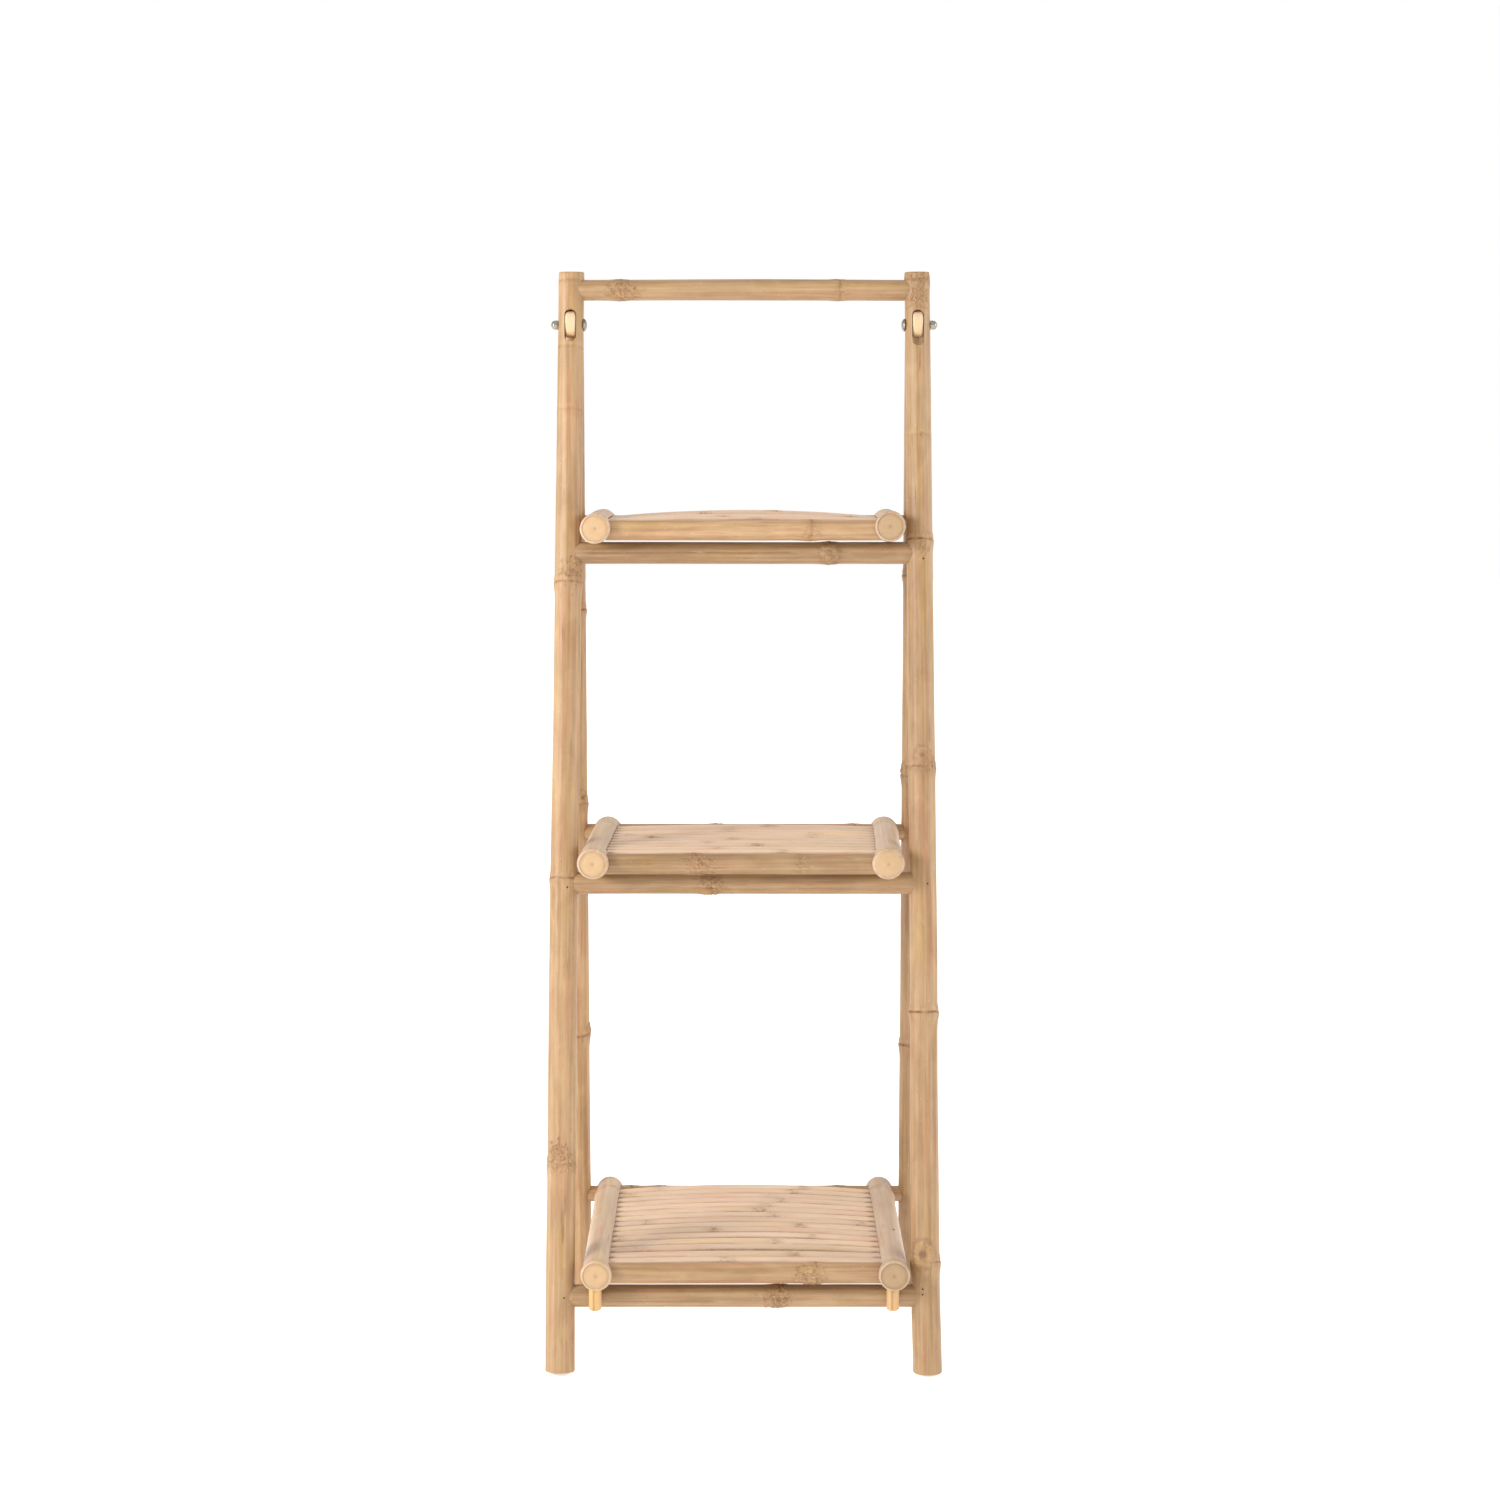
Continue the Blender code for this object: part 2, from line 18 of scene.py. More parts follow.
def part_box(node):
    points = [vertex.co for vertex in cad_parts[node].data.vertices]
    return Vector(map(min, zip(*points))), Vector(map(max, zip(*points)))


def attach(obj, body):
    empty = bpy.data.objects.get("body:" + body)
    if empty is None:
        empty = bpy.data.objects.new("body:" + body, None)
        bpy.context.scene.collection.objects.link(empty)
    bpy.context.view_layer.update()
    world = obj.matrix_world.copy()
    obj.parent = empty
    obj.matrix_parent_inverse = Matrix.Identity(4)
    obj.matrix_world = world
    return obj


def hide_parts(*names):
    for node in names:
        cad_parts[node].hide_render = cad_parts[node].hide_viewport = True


bl_info = {
    "name": "Bamboo ladder shelf",
    "version": (1, 0, 0),
    "blender": (4, 5, 0),
    "location": "3D View > Sidebar > Ladder Shelf",
    "description": "Builds the looks of a folding bamboo ladder shelf",
    "category": "Object",
}

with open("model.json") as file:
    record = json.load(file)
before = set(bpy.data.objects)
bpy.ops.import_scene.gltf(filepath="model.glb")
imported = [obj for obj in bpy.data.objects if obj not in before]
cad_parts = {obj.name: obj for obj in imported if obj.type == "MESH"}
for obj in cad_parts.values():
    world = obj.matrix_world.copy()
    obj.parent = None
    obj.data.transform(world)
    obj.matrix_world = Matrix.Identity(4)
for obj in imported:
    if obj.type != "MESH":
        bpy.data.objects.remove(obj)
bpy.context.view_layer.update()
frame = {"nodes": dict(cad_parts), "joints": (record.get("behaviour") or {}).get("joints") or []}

TRAYS = ("bottom", "middle", "top")
SIDES = ("left", "right")
SIDE_SIGN = {"left": -1, "right": 1}
SLAT_COUNT = {tray: sum(name.startswith(tray + "_tray_slat") for name in frame["nodes"])
              for tray in TRAYS}

BACK = Vector((0.0, 1.0, 0.0))
DOWN = Vector((0.0, 0.0, -1.0))
UP = (0.0, 0.0, 1.0)

# What grows on a culm. place is a share of its length, turn is in degrees round it.
Node = namedtuple("Node", "place swell stain patch")
Scar = namedtuple("Scar", "place turn radius rise core")
Streak = namedtuple("Streak", "start end turn depth")
Culm = namedtuple("Culm", "nodes scars streaks sway seed")
STRAIGHT = ((0.0, (0.0, 0.0, 0.0)), (1.0, (0.0, 0.0, 0.0)))

CULMS = {
    "front_post_left": Culm(
        (Node(0.187, 0.0010, 0.25, 0.55), Node(0.445, 0.0013, 0.75, 0.25),
         Node(0.714, 0.0015, 0.7, 0.35), Node(0.872, 0.0002, 0.15, 0.1),
         Node(0.9295, 0.0, 0.35, 0.0), Node(0.9905, 0.0004, 0.5, 0.1)),
        (Scar(0.198, -18.0, 0.0110, 0.0009, 0.0), Scar(0.190, 22.0, 0.0085, 0.0006, 0.0),
         Scar(0.722, 25.0, 0.0125, 0.0010, 0.3)),
        (Streak(0.118, 0.142, 12.0, 0.0003), Streak(0.140, 0.160, 22.0, 0.0002),
         Streak(0.130, 0.150, 5.0, 0.0001)),
        ((0.0, (0.0005, 0.0, 0.0)), (0.09, (-0.0003, 0.0, 0.0)),
         (0.19, (-0.0004, 0.0, 0.0)), (0.38, (-0.0011, 0.0, 0.0)),
         (0.62, (0.0, 0.0, 0.0)), (1.0, (0.0, 0.0, 0.0))), 3.1),
    "front_post_right": Culm(
        (Node(0.1005, 0.0015, 0.9, 0.3), Node(0.324, 0.0020, 1.0, 0.1),
         Node(0.546, 0.0014, 0.45, 0.5), Node(0.753, 0.0016, 0.95, 0.2),
         Node(0.848, 0.0002, 0.15, 0.1), Node(0.992, 0.0006, 0.5, 0.9)),
        (Scar(0.1075, -13.0, 0.0125, 0.0020, 1.0), Scar(0.556, 0.0, 0.0085, 0.0012, 0.7),
         Scar(0.549, 32.0, 0.0070, 0.0008, 0.5), Scar(0.975, 10.0, 0.0110, 0.0003, 0.2),
         Scar(0.848, 8.0, 0.0030, 0.0004, 0.6), Scar(0.744, 15.0, 0.0055, 0.0005, 0.5)),
        (Streak(0.565, 0.590, 35.0, 0.0003), Streak(0.905, 0.925, 5.0, 0.0002)),
        ((0.0, (-0.0010, 0.0, 0.0)), (0.07, (-0.0022, 0.0, 0.0)),
         (0.22, (-0.0020, 0.0, 0.0)), (0.40, (-0.0004, 0.0, 0.0)),
         (1.0, (0.0, 0.0, 0.0))), 11.7),
    "rear_leg_left": Culm(
        (Node(0.274, 0.0018, 0.7, 0.2), Node(0.520, 0.0016, 0.5, 0.3),
         Node(0.719, 0.0015, 0.6, 0.3)),
        (Scar(0.527, 35.0, 0.0065, 0.0018, 0.8), Scar(0.280, 75.0, 0.0060, 0.0012, 0.6)),
        (), STRAIGHT, 23.9),
    "rear_leg_right": Culm(
        (Node(0.264, 0.0018, 0.8, 0.2), Node(0.549, 0.0018, 0.7, 0.4),
         Node(0.754, 0.0015, 0.6, 0.3)),
        (Scar(0.556, -60.0, 0.0060, 0.0016, 0.7), Scar(0.270, 170.0, 0.0065, 0.0012, 0.6)),
        (), STRAIGHT, 31.3),
    "top_rail": Culm(
        (Node(0.135, 0.0009, 0.3, 1.0), Node(0.786, 0.0008, 0.35, 0.5)),
        (Scar(0.120, -5.0, 0.0105, 0.0004, 0.1), Scar(0.155, 12.0, 0.0100, 0.0004, 0.1)),
        (), ((0.0, (0.0, 0.0, 0.0)), (0.5, (0.0, 0.0, 0.0006)), (1.0, (0.0, 0.0, 0.0))),
        41.2),
    "front_rung_bottom": Culm(
        (Node(0.601, 0.0012, 0.6, 1.0),), (Scar(0.588, 5.0, 0.0110, 0.0005, 0.2),),
        (Streak(0.10, 0.42, 15.0, 0.0002),), STRAIGHT, 47.5),
    "front_rung_middle": Culm(
        (Node(0.408, 0.0012, 0.7, 1.0),), (Scar(0.400, 15.0, 0.0120, 0.0006, 0.3),),
        (), STRAIGHT, 53.8),
    "front_rung_top": Culm(
        (Node(0.755, 0.0012, 0.5, 1.0),), (Scar(0.748, 0.0, 0.0100, 0.0010, 0.5),),
        (Streak(0.02, 0.66, -4.0, 0.0007),), STRAIGHT, 59.1),
    "rear_rung_bottom": Culm(
        (Node(0.15, 0.0009, 0.8, 0.8), Node(0.24, 0.0008, 0.4, 1.0),
         Node(0.80, 0.0010, 0.7, 0.4)), (), (), STRAIGHT, 61.9),
    "rear_rung_middle": Culm(
        (Node(0.42, 0.0010, 0.7, 0.5), Node(0.84, 0.0010, 0.7, 0.4)), (), (), STRAIGHT,
        67.4),
    "rear_rung_top": Culm(
        (Node(0.24, 0.0010, 0.7, 0.4), Node(0.66, 0.0010, 0.8, 0.6)), (), (), STRAIGHT,
        71.6),
    "bottom_tray_front_bar": Culm(
        (Node(0.757, 0.0013, 0.8, 0.5),), (Scar(0.722, 0.0, 0.0115, 0.0010, 0.3),), (),
        STRAIGHT, 79.3),
    "middle_tray_front_bar": Culm(
        (Node(0.330, 0.0010, 0.4, 0.9), Node(0.700, 0.0003, 0.1, 0.5)),
        (Scar(0.345, 0.0, 0.0110, 0.0004, 0.1),), (), STRAIGHT, 83.7),
    "top_tray_front_bar": Culm(
        (Node(0.745, 0.0010, 0.5, 0.5),), (Scar(0.735, 20.0, 0.0060, 0.0005, 0.4),), (),
        STRAIGHT, 89.2),
}
FRONT_RING, BACK_RING = 0.0070, 0.0460    # rings behind a rail's two sawn ends
FRONT_BEND = 0.0450         # stretch of a rail, ahead of its rung, that may rise
RAIL_MARKS = {              # swell, stain and patch of a rail's front and back rings
    "bottom_tray_rail_left": ((0.0010, 0.35, 0.2), (0.0012, 0.6, 0.4)),
    "bottom_tray_rail_right": ((0.0011, 1.0, 0.5), (0.0014, 0.7, 0.5)),
    "middle_tray_rail_left": ((0.0010, 0.5, 0.2), (0.0004, 0.3, 0.3)),
    "middle_tray_rail_right": ((0.0012, 0.8, 0.4), (0.0006, 0.5, 0.3)),
    "top_tray_rail_left": ((0.0006, 0.5, 0.2), (0.0006, 0.6, 0.2)),
    "top_tray_rail_right": ((0.0006, 0.6, 0.4), (0.0006, 0.6, 0.3)),
}
SLAT_SEED = {"bottom": 200.0, "middle": 300.0, "top": 400.0}
# Shades of a pole's skin, of its first sawn face and of its last one.
TONES = {
    "front_post_left": (1.02, 1.0, 1.15), "front_post_right": (0.95, 0.9, 0.8),
    "rear_leg_left": (1.1, 0.9, 0.9), "rear_leg_right": (0.9, 0.8, 0.8),
    "top_rail": (0.90, 1.0, 1.0), "front_rung_top": (0.85, 1.0, 1.0),
    "front_rung_middle": (0.92, 1.0, 1.0), "front_rung_bottom": (0.86, 1.0, 1.0),
    "top_tray_front_bar": (1.06, 1.0, 1.0), "middle_tray_front_bar": (0.83, 1.0, 1.0),
    "bottom_tray_front_bar": (0.93, 1.0, 1.0),
    "bottom_tray_rail_left": (1.04, 0.90, 0.7), "bottom_tray_rail_right": (0.92, 0.66, 0.6),
    "bottom_tray_peg_right": (0.90, 1.0, 1.0),
    "middle_tray_rail_left": (0.98, 0.92, 0.8), "middle_tray_rail_right": (1.0, 0.86, 0.8),
    "top_tray_rail_left": (1.05, 0.93, 0.8), "top_tray_rail_right": (0.95, 0.72, 0.8),
}
# How the trays' rails stray from straight, from the front end to the back one.
RAIL_SWAY = {
    "bottom_tray_rail_left": ((0.0015, 0.0, 0.0028), (0.0, 0.0, 0.0)),
    "bottom_tray_rail_right": ((0.0010, 0.0, 0.0028), (0.0, 0.0, 0.0)),
    "middle_tray_rail_left": ((-0.0024, 0.0, 0.0), (0.0022, 0.0, 0.0)),
    "middle_tray_rail_right": ((-0.0050, 0.0, 0.0), (0.0012, 0.0, 0.0)),
    "top_tray_rail_left": ((-0.0015, 0.0, 0.0), (0.0, 0.0, 0.0)),
    "top_tray_rail_right": ((-0.0015, 0.0, 0.0024), (0.0, 0.0, 0.0)),
}
DOMED_RAILS = ("middle_tray_rail_right",)
CAMBER_FRONT, CAMBER_SLATS = 0.30, 5.0      # bow of the first slat, and slats to full bow
# Seams that stand open: tray, slat in front of the seam, and the stretch on X.
SEAMS = {("bottom", 9): (-0.150, -0.055), ("bottom", 5): (-0.150, -0.095),
         ("bottom", 12): (0.015, 0.110), ("bottom", 1): (-0.080, 0.145),
         ("bottom", 8): (0.030, 0.120), ("bottom", 3): (-0.020, 0.060),
         ("middle", 3): (-0.060, 0.080), ("middle", 6): (-0.120, 0.010),
         ("middle", 7): (0.020, 0.140), ("middle", 2): (-0.150, -0.040),
         ("top", 2): (-0.080, 0.100)}

# Poles
RING_DEPTH = 0.0003         # slab in which a solid's end ring lies
SAWN_EDGE = 0.0010          # chamfer of the solids' sawn ends
BORE_WALL, BORE_DEPTH = 0.0060, 0.0400      # wall and hollow of a pole at its foot
DOME_DEPTH = 0.0052         # how far a rail's worn end is rounded
TIP_SHARE = 0.55            # length of a peg's rounded tip, in radii
COARSE_STEP, FINE_STEP = 0.0100, 0.0012     # gaps between a culm's rings
NODE_REACH = 0.0160         # stretch of fine rings on each side of a node
LEVEL_REACH = 0.0400        # stretch over which a leaning end is made level
BAND, BAND_SHARE = 0.0062, 0.62     # reach and height of the band above a node's groove
SWELLING = 0.0105           # reach of the swelling below it
GROOVE, GROOVE_SHARE = 0.0009, 0.42         # half width and depth of the groove
NODE_DRIFT = 0.0010         # how far a node strays from square across the pole
STREAK_WIDTH, STREAK_FADE = 0.0010, 0.006   # half width, and stretch of its faint ends
PITH_SHARE = 0.86           # part of a sawn end that is not skin
RIM_SHARE = 0.93            # within this part of a pole's radius lies its sawn end
# Rows of an end closed by its inner wall, as shares of the radius and depths.
SEPTUM_ROWS = ((1.0, 0.0040), (0.985, 0.0022), (0.95, 0.0011), (0.90, 0.0004),
               (PITH_SHARE, 0.0004), (0.83, 0.0010), (0.78, 0.0007), (0.62, 0.0002),
               (0.42, 0.0), (0.20, 0.0001), (0.09, 0.0005), (0.0, 0.0007))
SMOOTH_ANGLE = math.radians(40)     # sharper edges than this stay crisp
FOOT_LEVEL = {"left": 0.15, "right": 0.55}    # how level each post's foot is sawn

# Hinges and nails
HEAD_POWER = 2.9            # fullness of a tongue's head: 2 is a circle
HEAD_RISE = 1.15            # how much taller the head is above its bolt
TONGUE_EDGE = 0.0026        # rounding of a tongue's edges
TONGUE_ROOT = 0.0420        # how far down a tongue is let into its leg
TONGUE_BORE = 0.0036
SLOT_REACH = {"left": (0.0024, 0.0048), "right": (0.0018, 0.0100)}   # over, then under
SLOT_GAP = 0.0007           # play of a tongue in its slot
SLOT_CORNER = 0.0062        # rounding of a slot's ends
SLOT_DEPTH = 0.08           # length of the cutter through a post
SHANK, SHANK_CHAMFER = 0.0030, 0.0006
HEAD_DOME = 0.0035          # height of a bolt's domed head
DRIVE_SLOT, DRIVE_TURN = (0.0022, 0.0013), math.radians(24)
NUT_DOME = 0.86             # radius of a cap nut's dome, as a share of the nut's
NAIL_LENGTH, NAIL_RADIUS, NAIL_RISE = 0.006, 0.0009, 0.0005
RUNG_NAILS = (              # post, height and how far aside from its middle
    ("right", 0.0945, -0.0040), ("right", 0.0887, -0.0042), ("right", 0.5300, 0.0040),
    ("right", 0.8840, 0.0030), ("left", 0.0850, 0.0050), ("left", 0.5260, 0.0045),
    ("left", 0.8860, 0.0035), ("left", 0.8790, 0.0032))
RAIL_NAIL_Y, RAIL_NAIL_TURN = -0.045, math.radians(25)
RAIL_NAIL_RADIUS, RAIL_NAIL_RISE = 0.0012, 0.0007

# Trays
REST_GAP = 0.0003           # gap between solids that touch
TURN_GAP = 0.0006           # play of a rail on the rung it turns on
NOTCH_PLAY = 0.0007         # gap round a strip's end in its notch
SLAT_END = 0.0018           # stretch of painted shade at a slat's ends, where it goes into its rail
SLAT_TUCK = 0.0072          # how far a slat's tip lies in its rail
SLAT_LIFT = 0.0004          # how far a slat's crown lies under its solid's top
SLAT_TAPER = 0.0014         # how much thinner a slat is at its long edges
SEAM_OPEN, SEAM_FADE = 0.0011, 0.03         # width of an open seam, and its tapering
SPOT_RISE, SPOT_REACH = 0.0005, 0.006       # bump left by a split node

# Colours that no piece shares with another setting
ROSY, YELLOW = (0.99, 0.83, 0.80, 1.0), (0.98, 0.93, 0.70, 1.0)
PALE = (1.18, 1.16, 1.12, 1.0)
CRUMB, SPECK = (0.74, 0.52, 0.32, 1.0), (0.80, 0.66, 0.48, 1.0)
DRY_PITH = (0.50, 0.30, 0.14, 1.0)
TONGUE_LIGHT, TONGUE_DEEP = (0.66, 0.50, 0.34), (0.56, 0.40, 0.25)

# Studio
FLOOR_GREY, FLOOR_GLOW, FLOOR_DROP, FLOOR_REACH = 0.90, 0.55, 0.0004, 14.0
SOFT_LIGHTS = (             # name, place, size and power
    ("key_light", (-2.7, -1.7, 1.7), 1.2, 80.0), ("edge_light", (2.9, -0.5, 1.4), 1.2, 30.0))
LIGHTS_AIM = Vector((0.0, 0.0, 0.55))
CAMERA_LENS, CAMERA_TILT = 68.2, math.radians(90.0 - 6.92)
CAMERA_ASIDE, CAMERA_AHEAD, CAMERA_HEIGHT = 0.0065, 3.007, 1.0524


def colour_setting(name, description, default):
    return bpy.props.FloatVectorProperty(name=name, description=description,
                                         subtype="COLOR", size=3, min=0.0, max=1.0,
                                         default=default)


class ShelfSettings(bpy.types.PropertyGroup):
    """Colours and sizes that a user of the shelf may change."""

    pole_light: colour_setting("Pole light", "Pale fibres of the poles' skin",
                              (0.450, 0.288, 0.148))
    pole_deep: colour_setting("Pole deep", "Darker fibres of the poles' skin",
                              (0.290, 0.166, 0.074))
    rail_light: colour_setting("Rail light", "Pale fibres of the trays' rails",
                              (0.560, 0.415, 0.285))
    rail_deep: colour_setting("Rail deep", "Darker fibres of the trays' rails",
                              (0.430, 0.290, 0.175))
    slat_light: colour_setting("Slat light", "Pale fibres of the slats",
                              (0.625, 0.462, 0.333))
    slat_deep: colour_setting("Slat deep", "Darker fibres of the slats",
                              (0.530, 0.368, 0.248))
    # Its brown also paints the shade along the slats' seams and ends.
    stain: colour_setting("Node stain", "Brown of the rings and scars",
                              (0.138, 0.054, 0.022))
    pith: colour_setting("Pith", "Sawn ends and inner wood",
                              (0.560, 0.370, 0.200))
    peg: colour_setting("Peg", "Split pegs under the bottom tray",
                              (0.640, 0.405, 0.185))
    metal: colour_setting("Metal", "Plated bolts and nuts",
                              (0.330, 0.300, 0.250))
    pole_roughness: bpy.props.FloatProperty(
        name="Pole roughness", description="Gloss of the poles' waxy skin",
        subtype="FACTOR", min=0.0, max=1.0, default=0.46)
    sides: bpy.props.IntProperty(
        name="Sides", description="Facets round a pole", min=16, max=128, default=56)
    slat_crown: bpy.props.FloatProperty(
        name="Slat crown", description="Rise of a slat's middle over its edges",
        subtype="DISTANCE", unit="LENGTH", min=0.0, max=0.004, default=0.0013)
    strip_steps: bpy.props.IntProperty(
        name="Slat steps", description="Divisions along a slat", min=8, max=96,
        default=44)


# ---------------------------------------------------------------- places from the frame

def solid_points(node):
    return [vert.co for vert in frame["nodes"][node].data.vertices]


def end_ring(points, normal):
    """Centre of the ring of vertices that lies furthest along a normal, and its points."""
    reach = max(point.dot(normal) for point in points)
    ring = [point for point in points if point.dot(normal) > reach - RING_DEPTH]
    low = Vector([min(values) for values in zip(*ring)])
    high = Vector([max(values) for values in zip(*ring)])
    return (low + high) / 2, ring


def widest(ring, centre, along):
    """Largest distance of a ring's points from the axis through its centre."""
    return max(((point - centre) - along * (point - centre).dot(along)).length
               for point in ring)


def pole_line(node, start_normal, end_normal, sawn):
    """Axis ends and radii of a solid pole. sawn says which ends have a chamfer."""
    points = solid_points(node)
    start, start_ring = end_ring(points, Vector(start_normal))
    end, end_points = end_ring(points, Vector(end_normal))
    along = (end - start).normalized()
    radii = (widest(start_ring, start, along) + SAWN_EDGE * sawn[0],
             widest(end_points, end, along) + SAWN_EDGE * sawn[1])
    return start, end, radii


def across_line(node):
    return pole_line(node, (-1.0, 0.0, 0.0), (1.0, 0.0, 0.0), (1, 1))


def leg_line(node):
    """A leg is level at the foot and square to its own axis at the top."""
    points = solid_points(node)
    foot, foot_ring = end_ring(points, DOWN)
    top, _ = end_ring(points, Vector(UP))
    for _ in range(2):
        along = (top - foot).normalized()
        top, top_ring = end_ring(points, along)
    return foot, top, (widest(foot_ring, foot, along),
                       widest(top_ring, top, along) + SAWN_EDGE)


def placement(start, end, away):
    """Turns a culm's own frame to the shelf's: its Z along the axis, its Y away."""
    along = (end - start).normalized()
    across = away - along * away.dot(along)
    across.normalize()
    turn = Matrix((across.cross(along), across, along)).transposed()
    return Matrix.Translation(start) @ turn.to_4x4()


def joint_pivot(name):
    joint = next(joint for joint in frame["joints"] if joint["name"] == name)
    return Vector(joint["pos_m"])


# ---------------------------------------------------------------- shaping a culm

def smooth(value):
    value = min(1.0, max(0.0, value))
    return value * value * (3.0 - 2.0 * value)


def sway_at(points, share):
    """Reads a smooth bend given as (share, offset) points."""
    for (left, low), (right, high) in zip(points, points[1:]):
        if share <= right:
            return Vector(low).lerp(Vector(high), smooth((share - left) / (right - left)))
    return Vector(points[-1][1])


def ring_places(length, special):
    """Distances of a culm's rings, close together round its nodes."""
    places = [0.0]
    while places[-1] < length:
        gap = min((abs(places[-1] - place) for place in special), default=length)
        step = FINE_STEP + (COARSE_STEP - FINE_STEP) * smooth(gap / NODE_REACH - 1.0)
        places.append(places[-1] + step)
    return [place * length / places[-1] for place in places]


def quarter_turn(steps):
    return [math.pi / 2 * step / steps for step in range(steps + 1)]


def end_rows(kind, radius):
    """(radius, depth) rows from the skin of an end to its axis."""
    if kind == "bored":
        return [(radius, 0.0010), (radius - 0.0008, 0.0), (radius - BORE_WALL, 0.0),
                (radius - BORE_WALL, BORE_DEPTH), (0.0, BORE_DEPTH)]
    if kind == "septum":
        return [(radius * share, depth) for share, depth in SEPTUM_ROWS]
    if kind == "dome":
        return [(radius * math.cos(turn), DOME_DEPTH * (1.0 - math.sin(turn)))
                for turn in quarter_turn(8)]
    if kind == "round":
        return [(radius * math.cos(turn), radius * TIP_SHARE * (1.0 - math.sin(turn)))
                for turn in quarter_turn(5)]
    return [(radius, 0.0011), (radius - 0.0005, 0.0003), (radius - 0.0014, 0.0),
            (radius * 0.5, 0.0), (0.0, 0.0)]


def node_rise(node, distance):
    """Skin's rise near a node: a band above the groove and a long swelling below it."""
    if distance > 0.0:
        swelling = BAND_SHARE * math.exp(-(distance / BAND) ** 4)
    else:
        swelling = math.exp(-(distance / SWELLING) ** 2)
    groove = GROOVE_SHARE * math.exp(-(distance / GROOVE) ** 2)
    return node.swell * (swelling - groove)


def scar_share(scar, seed, length, distance, turn, radius):
    """Distance from a scar's centre, in its own uneven radii."""
    gap = (turn - math.radians(scar.turn) + math.pi) % math.tau - math.pi
    across, along = gap * radius, (distance - scar.place * length) * 0.85
    share = math.hypot(across, along) / scar.radius
    uneven = noise.noise(Vector((across * 260.0, along * 260.0, seed + scar.place * 40.0)))
    return share * (1.0 + (0.75 - 0.55 * scar.core) * uneven)


def streak_share(streak, length, distance, turn, radius):
    """1 in the middle of a streak, falling to 0 at its sides and ends."""
    middle = (streak.start + streak.end) / 2 * length
    half = (streak.end - streak.start) / 2 * length
    gap = (turn - math.radians(streak.turn) + math.pi) % math.tau - math.pi
    gap += 0.05 * noise.noise(Vector((distance * 18.0, streak.turn, 0.0)))
    across = math.exp(-(gap * radius / STREAK_WIDTH) ** 2)
    return across * smooth((half - abs(distance - middle)) / STREAK_FADE)


def wobble(turn, seed):
    return noise.noise(Vector((math.cos(turn) * 1.3, math.sin(turn) * 1.3, seed)))


def node_gap(node, seed, length, distance, turn):
    """Distance past a node's groove, which strays a little round the pole."""
    shift = NODE_DRIFT * wobble(turn, seed + node.place * 9.0)
    return distance - node.place * length - shift


def skin_rise(culm, length, distance, turn, radius):
    """How far the natural skin stands from the plain tapered pole."""
    seed = culm.seed
    ring = Vector((math.cos(turn), math.sin(turn), distance * 6.0 + seed))
    rise = 0.00030 * noise.noise(ring) + 0.00016 * math.cos(2.0 * turn + seed)
    rise += 0.00012 * noise.noise(Vector((ring.x * 4.0, ring.y * 4.0, distance * 30.0)))
    for node in culm.nodes:
        gap = node_gap(node, seed, length, distance, turn)
        if abs(gap) < 3.0 * NODE_REACH:
            rise += node_rise(node, gap)
            rough = noise.noise(Vector((ring.x * 7.0, ring.y * 7.0, distance * 400.0)))
            rise += 0.00045 * node.patch * rough * math.exp(-(gap / 0.010) ** 2)
    for scar in culm.scars:
        share = scar_share(scar, seed, length, distance, turn, radius)
        if share < 1.6:
            lump = noise.noise(Vector((ring.x * 9.0, ring.y * 9.0, distance * 500.0)))
            pit = 0.45 * scar.core * smooth(1.0 - share / 0.35)
            mound = smooth((1.25 - share) / 0.5) * (1.0 + 0.55 * lump)
            rise += scar.rise * mound - pit * scar.rise
            rise -= 0.00035 * scar.core * math.exp(-((share - 1.15) / 0.12) ** 2)
    for streak in culm.streaks:
        rise -= streak.depth * streak_share(streak, length, distance, turn, radius)
    return rise


def marks_at(culm, length, distance, turn, radius):
    """Masks for the skin's colour: dark rings and cores, brown patches, paler bands."""
    dark = patch = pale = 0.0
    for node in culm.nodes:
        gap = node_gap(node, culm.seed, length, distance, turn)
        uneven = 0.75 + 0.9 * wobble(turn * 2.0, culm.seed + node.place * 5.0)
        dark = max(dark, node.stain * uneven * math.exp(-(gap / 0.0013) ** 2))
        reach = 0.0100 if gap > 0.0 else 0.0075
        patch = max(patch, node.patch * math.exp(-(gap / reach) ** 2))
        if gap > 0.0:
            pale = max(pale, 0.8 * math.exp(-((gap - 0.0038) / 0.0026) ** 2))
    for scar in culm.scars:
        share = scar_share(scar, culm.seed, length, distance, turn, radius)
        if share < 2.0:
            dark *= 1.0 - smooth((1.2 - share) / 0.2)
            patch *= 1.0 - 0.8 * scar.core * smooth((1.3 - share) / 0.2)
            patch = max(patch, (0.9 - 0.6 * scar.core) * smooth((1.3 - share) / 0.5))
            dark = max(dark, 0.75 * scar.core * smooth((0.42 - share) / 0.25),
                       0.35 * scar.core * math.exp(-((share - 1.1) / 0.16) ** 2))
            pale = max(pale, 0.7 * smooth((1.1 - share) / 0.4) * smooth((share - 0.3) / 0.3))
    for streak in culm.streaks:
        dark = max(dark, 0.7 * streak_share(streak, length, distance, turn, radius))
    return dark, patch, pale


